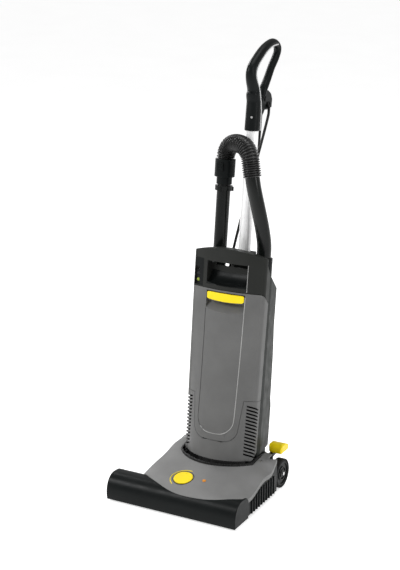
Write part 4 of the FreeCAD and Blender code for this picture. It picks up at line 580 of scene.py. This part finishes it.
# Bowl of the carry pocket: share of the way back, and rise over the lip
bowl_rows = ((0, -2.0), (0.012, -0.6), (0.04, 0.0), (0.15, 0.3), (0.3, 1.2), (0.45, 3.5), (0.6, 7.5),
             (0.75, 13), (0.88, 20), (0.97, 27), (1.0, 31))
pocket_half, pocket_low_s, pocket_back_y = 60, 523, -48
lip_s, lip_rise = 523.8, 4.7
bowl_rings = []
for x in range(-pocket_half, pocket_half + 1, 4):
    lip = lip_s + lip_rise * (x / pocket_half) ** 2
    front = on_cap(x, lip)
    rest = up(x, pocket_back_y, lip)
    ring = [front.lerp(rest, share) + along * rise / 1000 for share, rise in bowl_rows]
    bowl_rings.append([on_cap(x, pocket_low_s)] + ring)
# The bowl takes the darker black plastic rather than the cap's, as painted shade inside the pocket
bowl = strip("pocket_bowl", bowl_rings, black, "upright")

# Painted highlight: light beads along the foot and right side of the door's panel, and on up the cap beside
# the pocket, where light catches those edges
door_tree = tree_of("front_door")
panel_edge_width = 0.0026
panel_edge_sink = 0.0006
panel_foot_x, panel_foot_s = 13, 163
panel_side_x, panel_widening, panel_height = 54, 4, 339


def panel_edge_place(x, s, x_way, s_way, near_reach, far_reach):
    """A place on the line over the panel's groove, carried on from two places on the door beside it."""
    near, far = (door_tree.ray_cast(up(x + x_way * reach, outside_y, s + s_way * reach), back)[0]
                 for reach in (near_reach, far_reach))
    return near * 2 - far + back * panel_edge_sink


# The painted highlight starts at the foot's left corner; the shaded left side of the panel gets none
foot_turns = [(-panel_foot_x, turn) for turn in (-135, -120, -105, -90)]
foot_turns += [(panel_foot_x, turn) for turn in range(-90, 1, 15)]
panel_places = []
for x, degrees in foot_turns:
    turn = math.radians(degrees)
    panel_places.append(panel_edge_place(x, panel_foot_s, math.cos(turn), math.sin(turn), 44, 47))
for rise in range(200, 501, 50):
    x = panel_side_x + panel_widening * (rise - panel_foot_s) / panel_height
    panel_places.append(panel_edge_place(x, rise, 1, 0, 3, 6))
panel_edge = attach(cord_piece("panel_painted_highlight_line", panel_places, painted_highlight_grey, panel_edge_width), "door")
cap_edge_x, cap_edge_width = 61.2, 0.0016
cap_edge_places = [on_cap(cap_edge_x, s) for s in (514, 540, 565, 587)]
cap_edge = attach(cord_piece("cap_painted_highlight_line", cap_edge_places, painted_highlight_grey, cap_edge_width), "upright")

# Baffles behind the louvres: across and back
baffle_line = ((76, -68), (80, -56), (82, -30), (82, 0))
baffle_levels = (100, 150, 200, 245)
for side, side_name in ((-1, "left"), (1, "right")):
    baffle_rows = [[up(side * x, y, rise) for x, y in baffle_line] for rise in baffle_levels]
    baffle = strip("louvre_baffle_" + side_name, baffle_rows, black, "upright")


# Arc round the height dial, and a dark ring of painted shade in the gap round its disc

dial_low, dial_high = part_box("height_dial")
dial_middle = (dial_low + dial_high) / 2
dial_radius = (dial_high.x - dial_low.x) / 2
dial_arc_radius = 0.0355
dial_ring_gap = 0.0022


def round_dial(name, radius, turns, material, thickness):
    """A bead on the cover round the dial's middle, at these turns in degrees."""
    places = [on_cover(dial_middle.x + radius * math.cos(math.radians(turn)),
                       dial_middle.y + radius * math.sin(math.radians(turn)), 0.0002) for turn in turns]
    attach(cord_piece(name, places, material, thickness), "head")


round_dial("dial_arc", dial_arc_radius, range(75, 241, 15), yellow, 0.0022)
# Painted shade: a black ring on the cover where the gap round the dial's disc lies in shadow
round_dial("dial_painted_shade_ring", dial_radius + dial_ring_gap, range(0, 361, 10), black, 0.0015)


# Floor and light

bpy.ops.mesh.primitive_plane_add(size=160, location=(0, 0, -0.0003))
floor = bpy.context.object
floor.name = "floor"
paper = Nodes("paper")
paper_tone = paper.ramp(paper.noise(3.0), (0.86, 0.86, 0.86), (0.9, 0.9, 0.9))
paper.link(paper_tone, paper.shader.inputs["Base Color"])
paper.shader.inputs["Roughness"].default_value = 0.9
paper.shader.inputs["Emission Color"].default_value = (1, 1, 1, 1)
paper.shader.inputs["Emission Strength"].default_value = 0.56
floor.data.materials.append(paper.material)

world = bpy.data.worlds.new("studio")
world.use_nodes = True
world.node_tree.nodes["Background"].inputs["Color"].default_value = (1, 1, 1, 1)
world.node_tree.nodes["Background"].inputs["Strength"].default_value = 0.46
bpy.context.scene.world = world
bpy.context.scene.view_settings.view_transform = "Standard"


def panel_light(name, at, towards, size, watts):
    data = bpy.data.lights.new(name, "AREA")
    data.shape = "RECTANGLE"
    data.size, data.size_y = size
    data.energy = watts
    lamp = bpy.data.objects.new(name, data)
    lamp.location = at
    lamp.rotation_euler = (Vector(towards) - Vector(at)).to_track_quat("-Z", "Y").to_euler()
    bpy.context.collection.objects.link(lamp)


panel_light("key", (-2.2, -2.4, 2.6), (0, 0, 0.6), (1.0, 1.6), 78)
panel_light("side", (2.8, -0.4, 1.9), (0, 0, 0.6), (0.7, 2.0), 28)
panel_light("rim", (-2.4, 1.3, 1.8), (0, 0, 0.8), (0.4, 2.0), 40)
panel_light("top", (0.2, 0.4, 3.4), (0, 0, 0.4), (1.6, 1.6), 30)
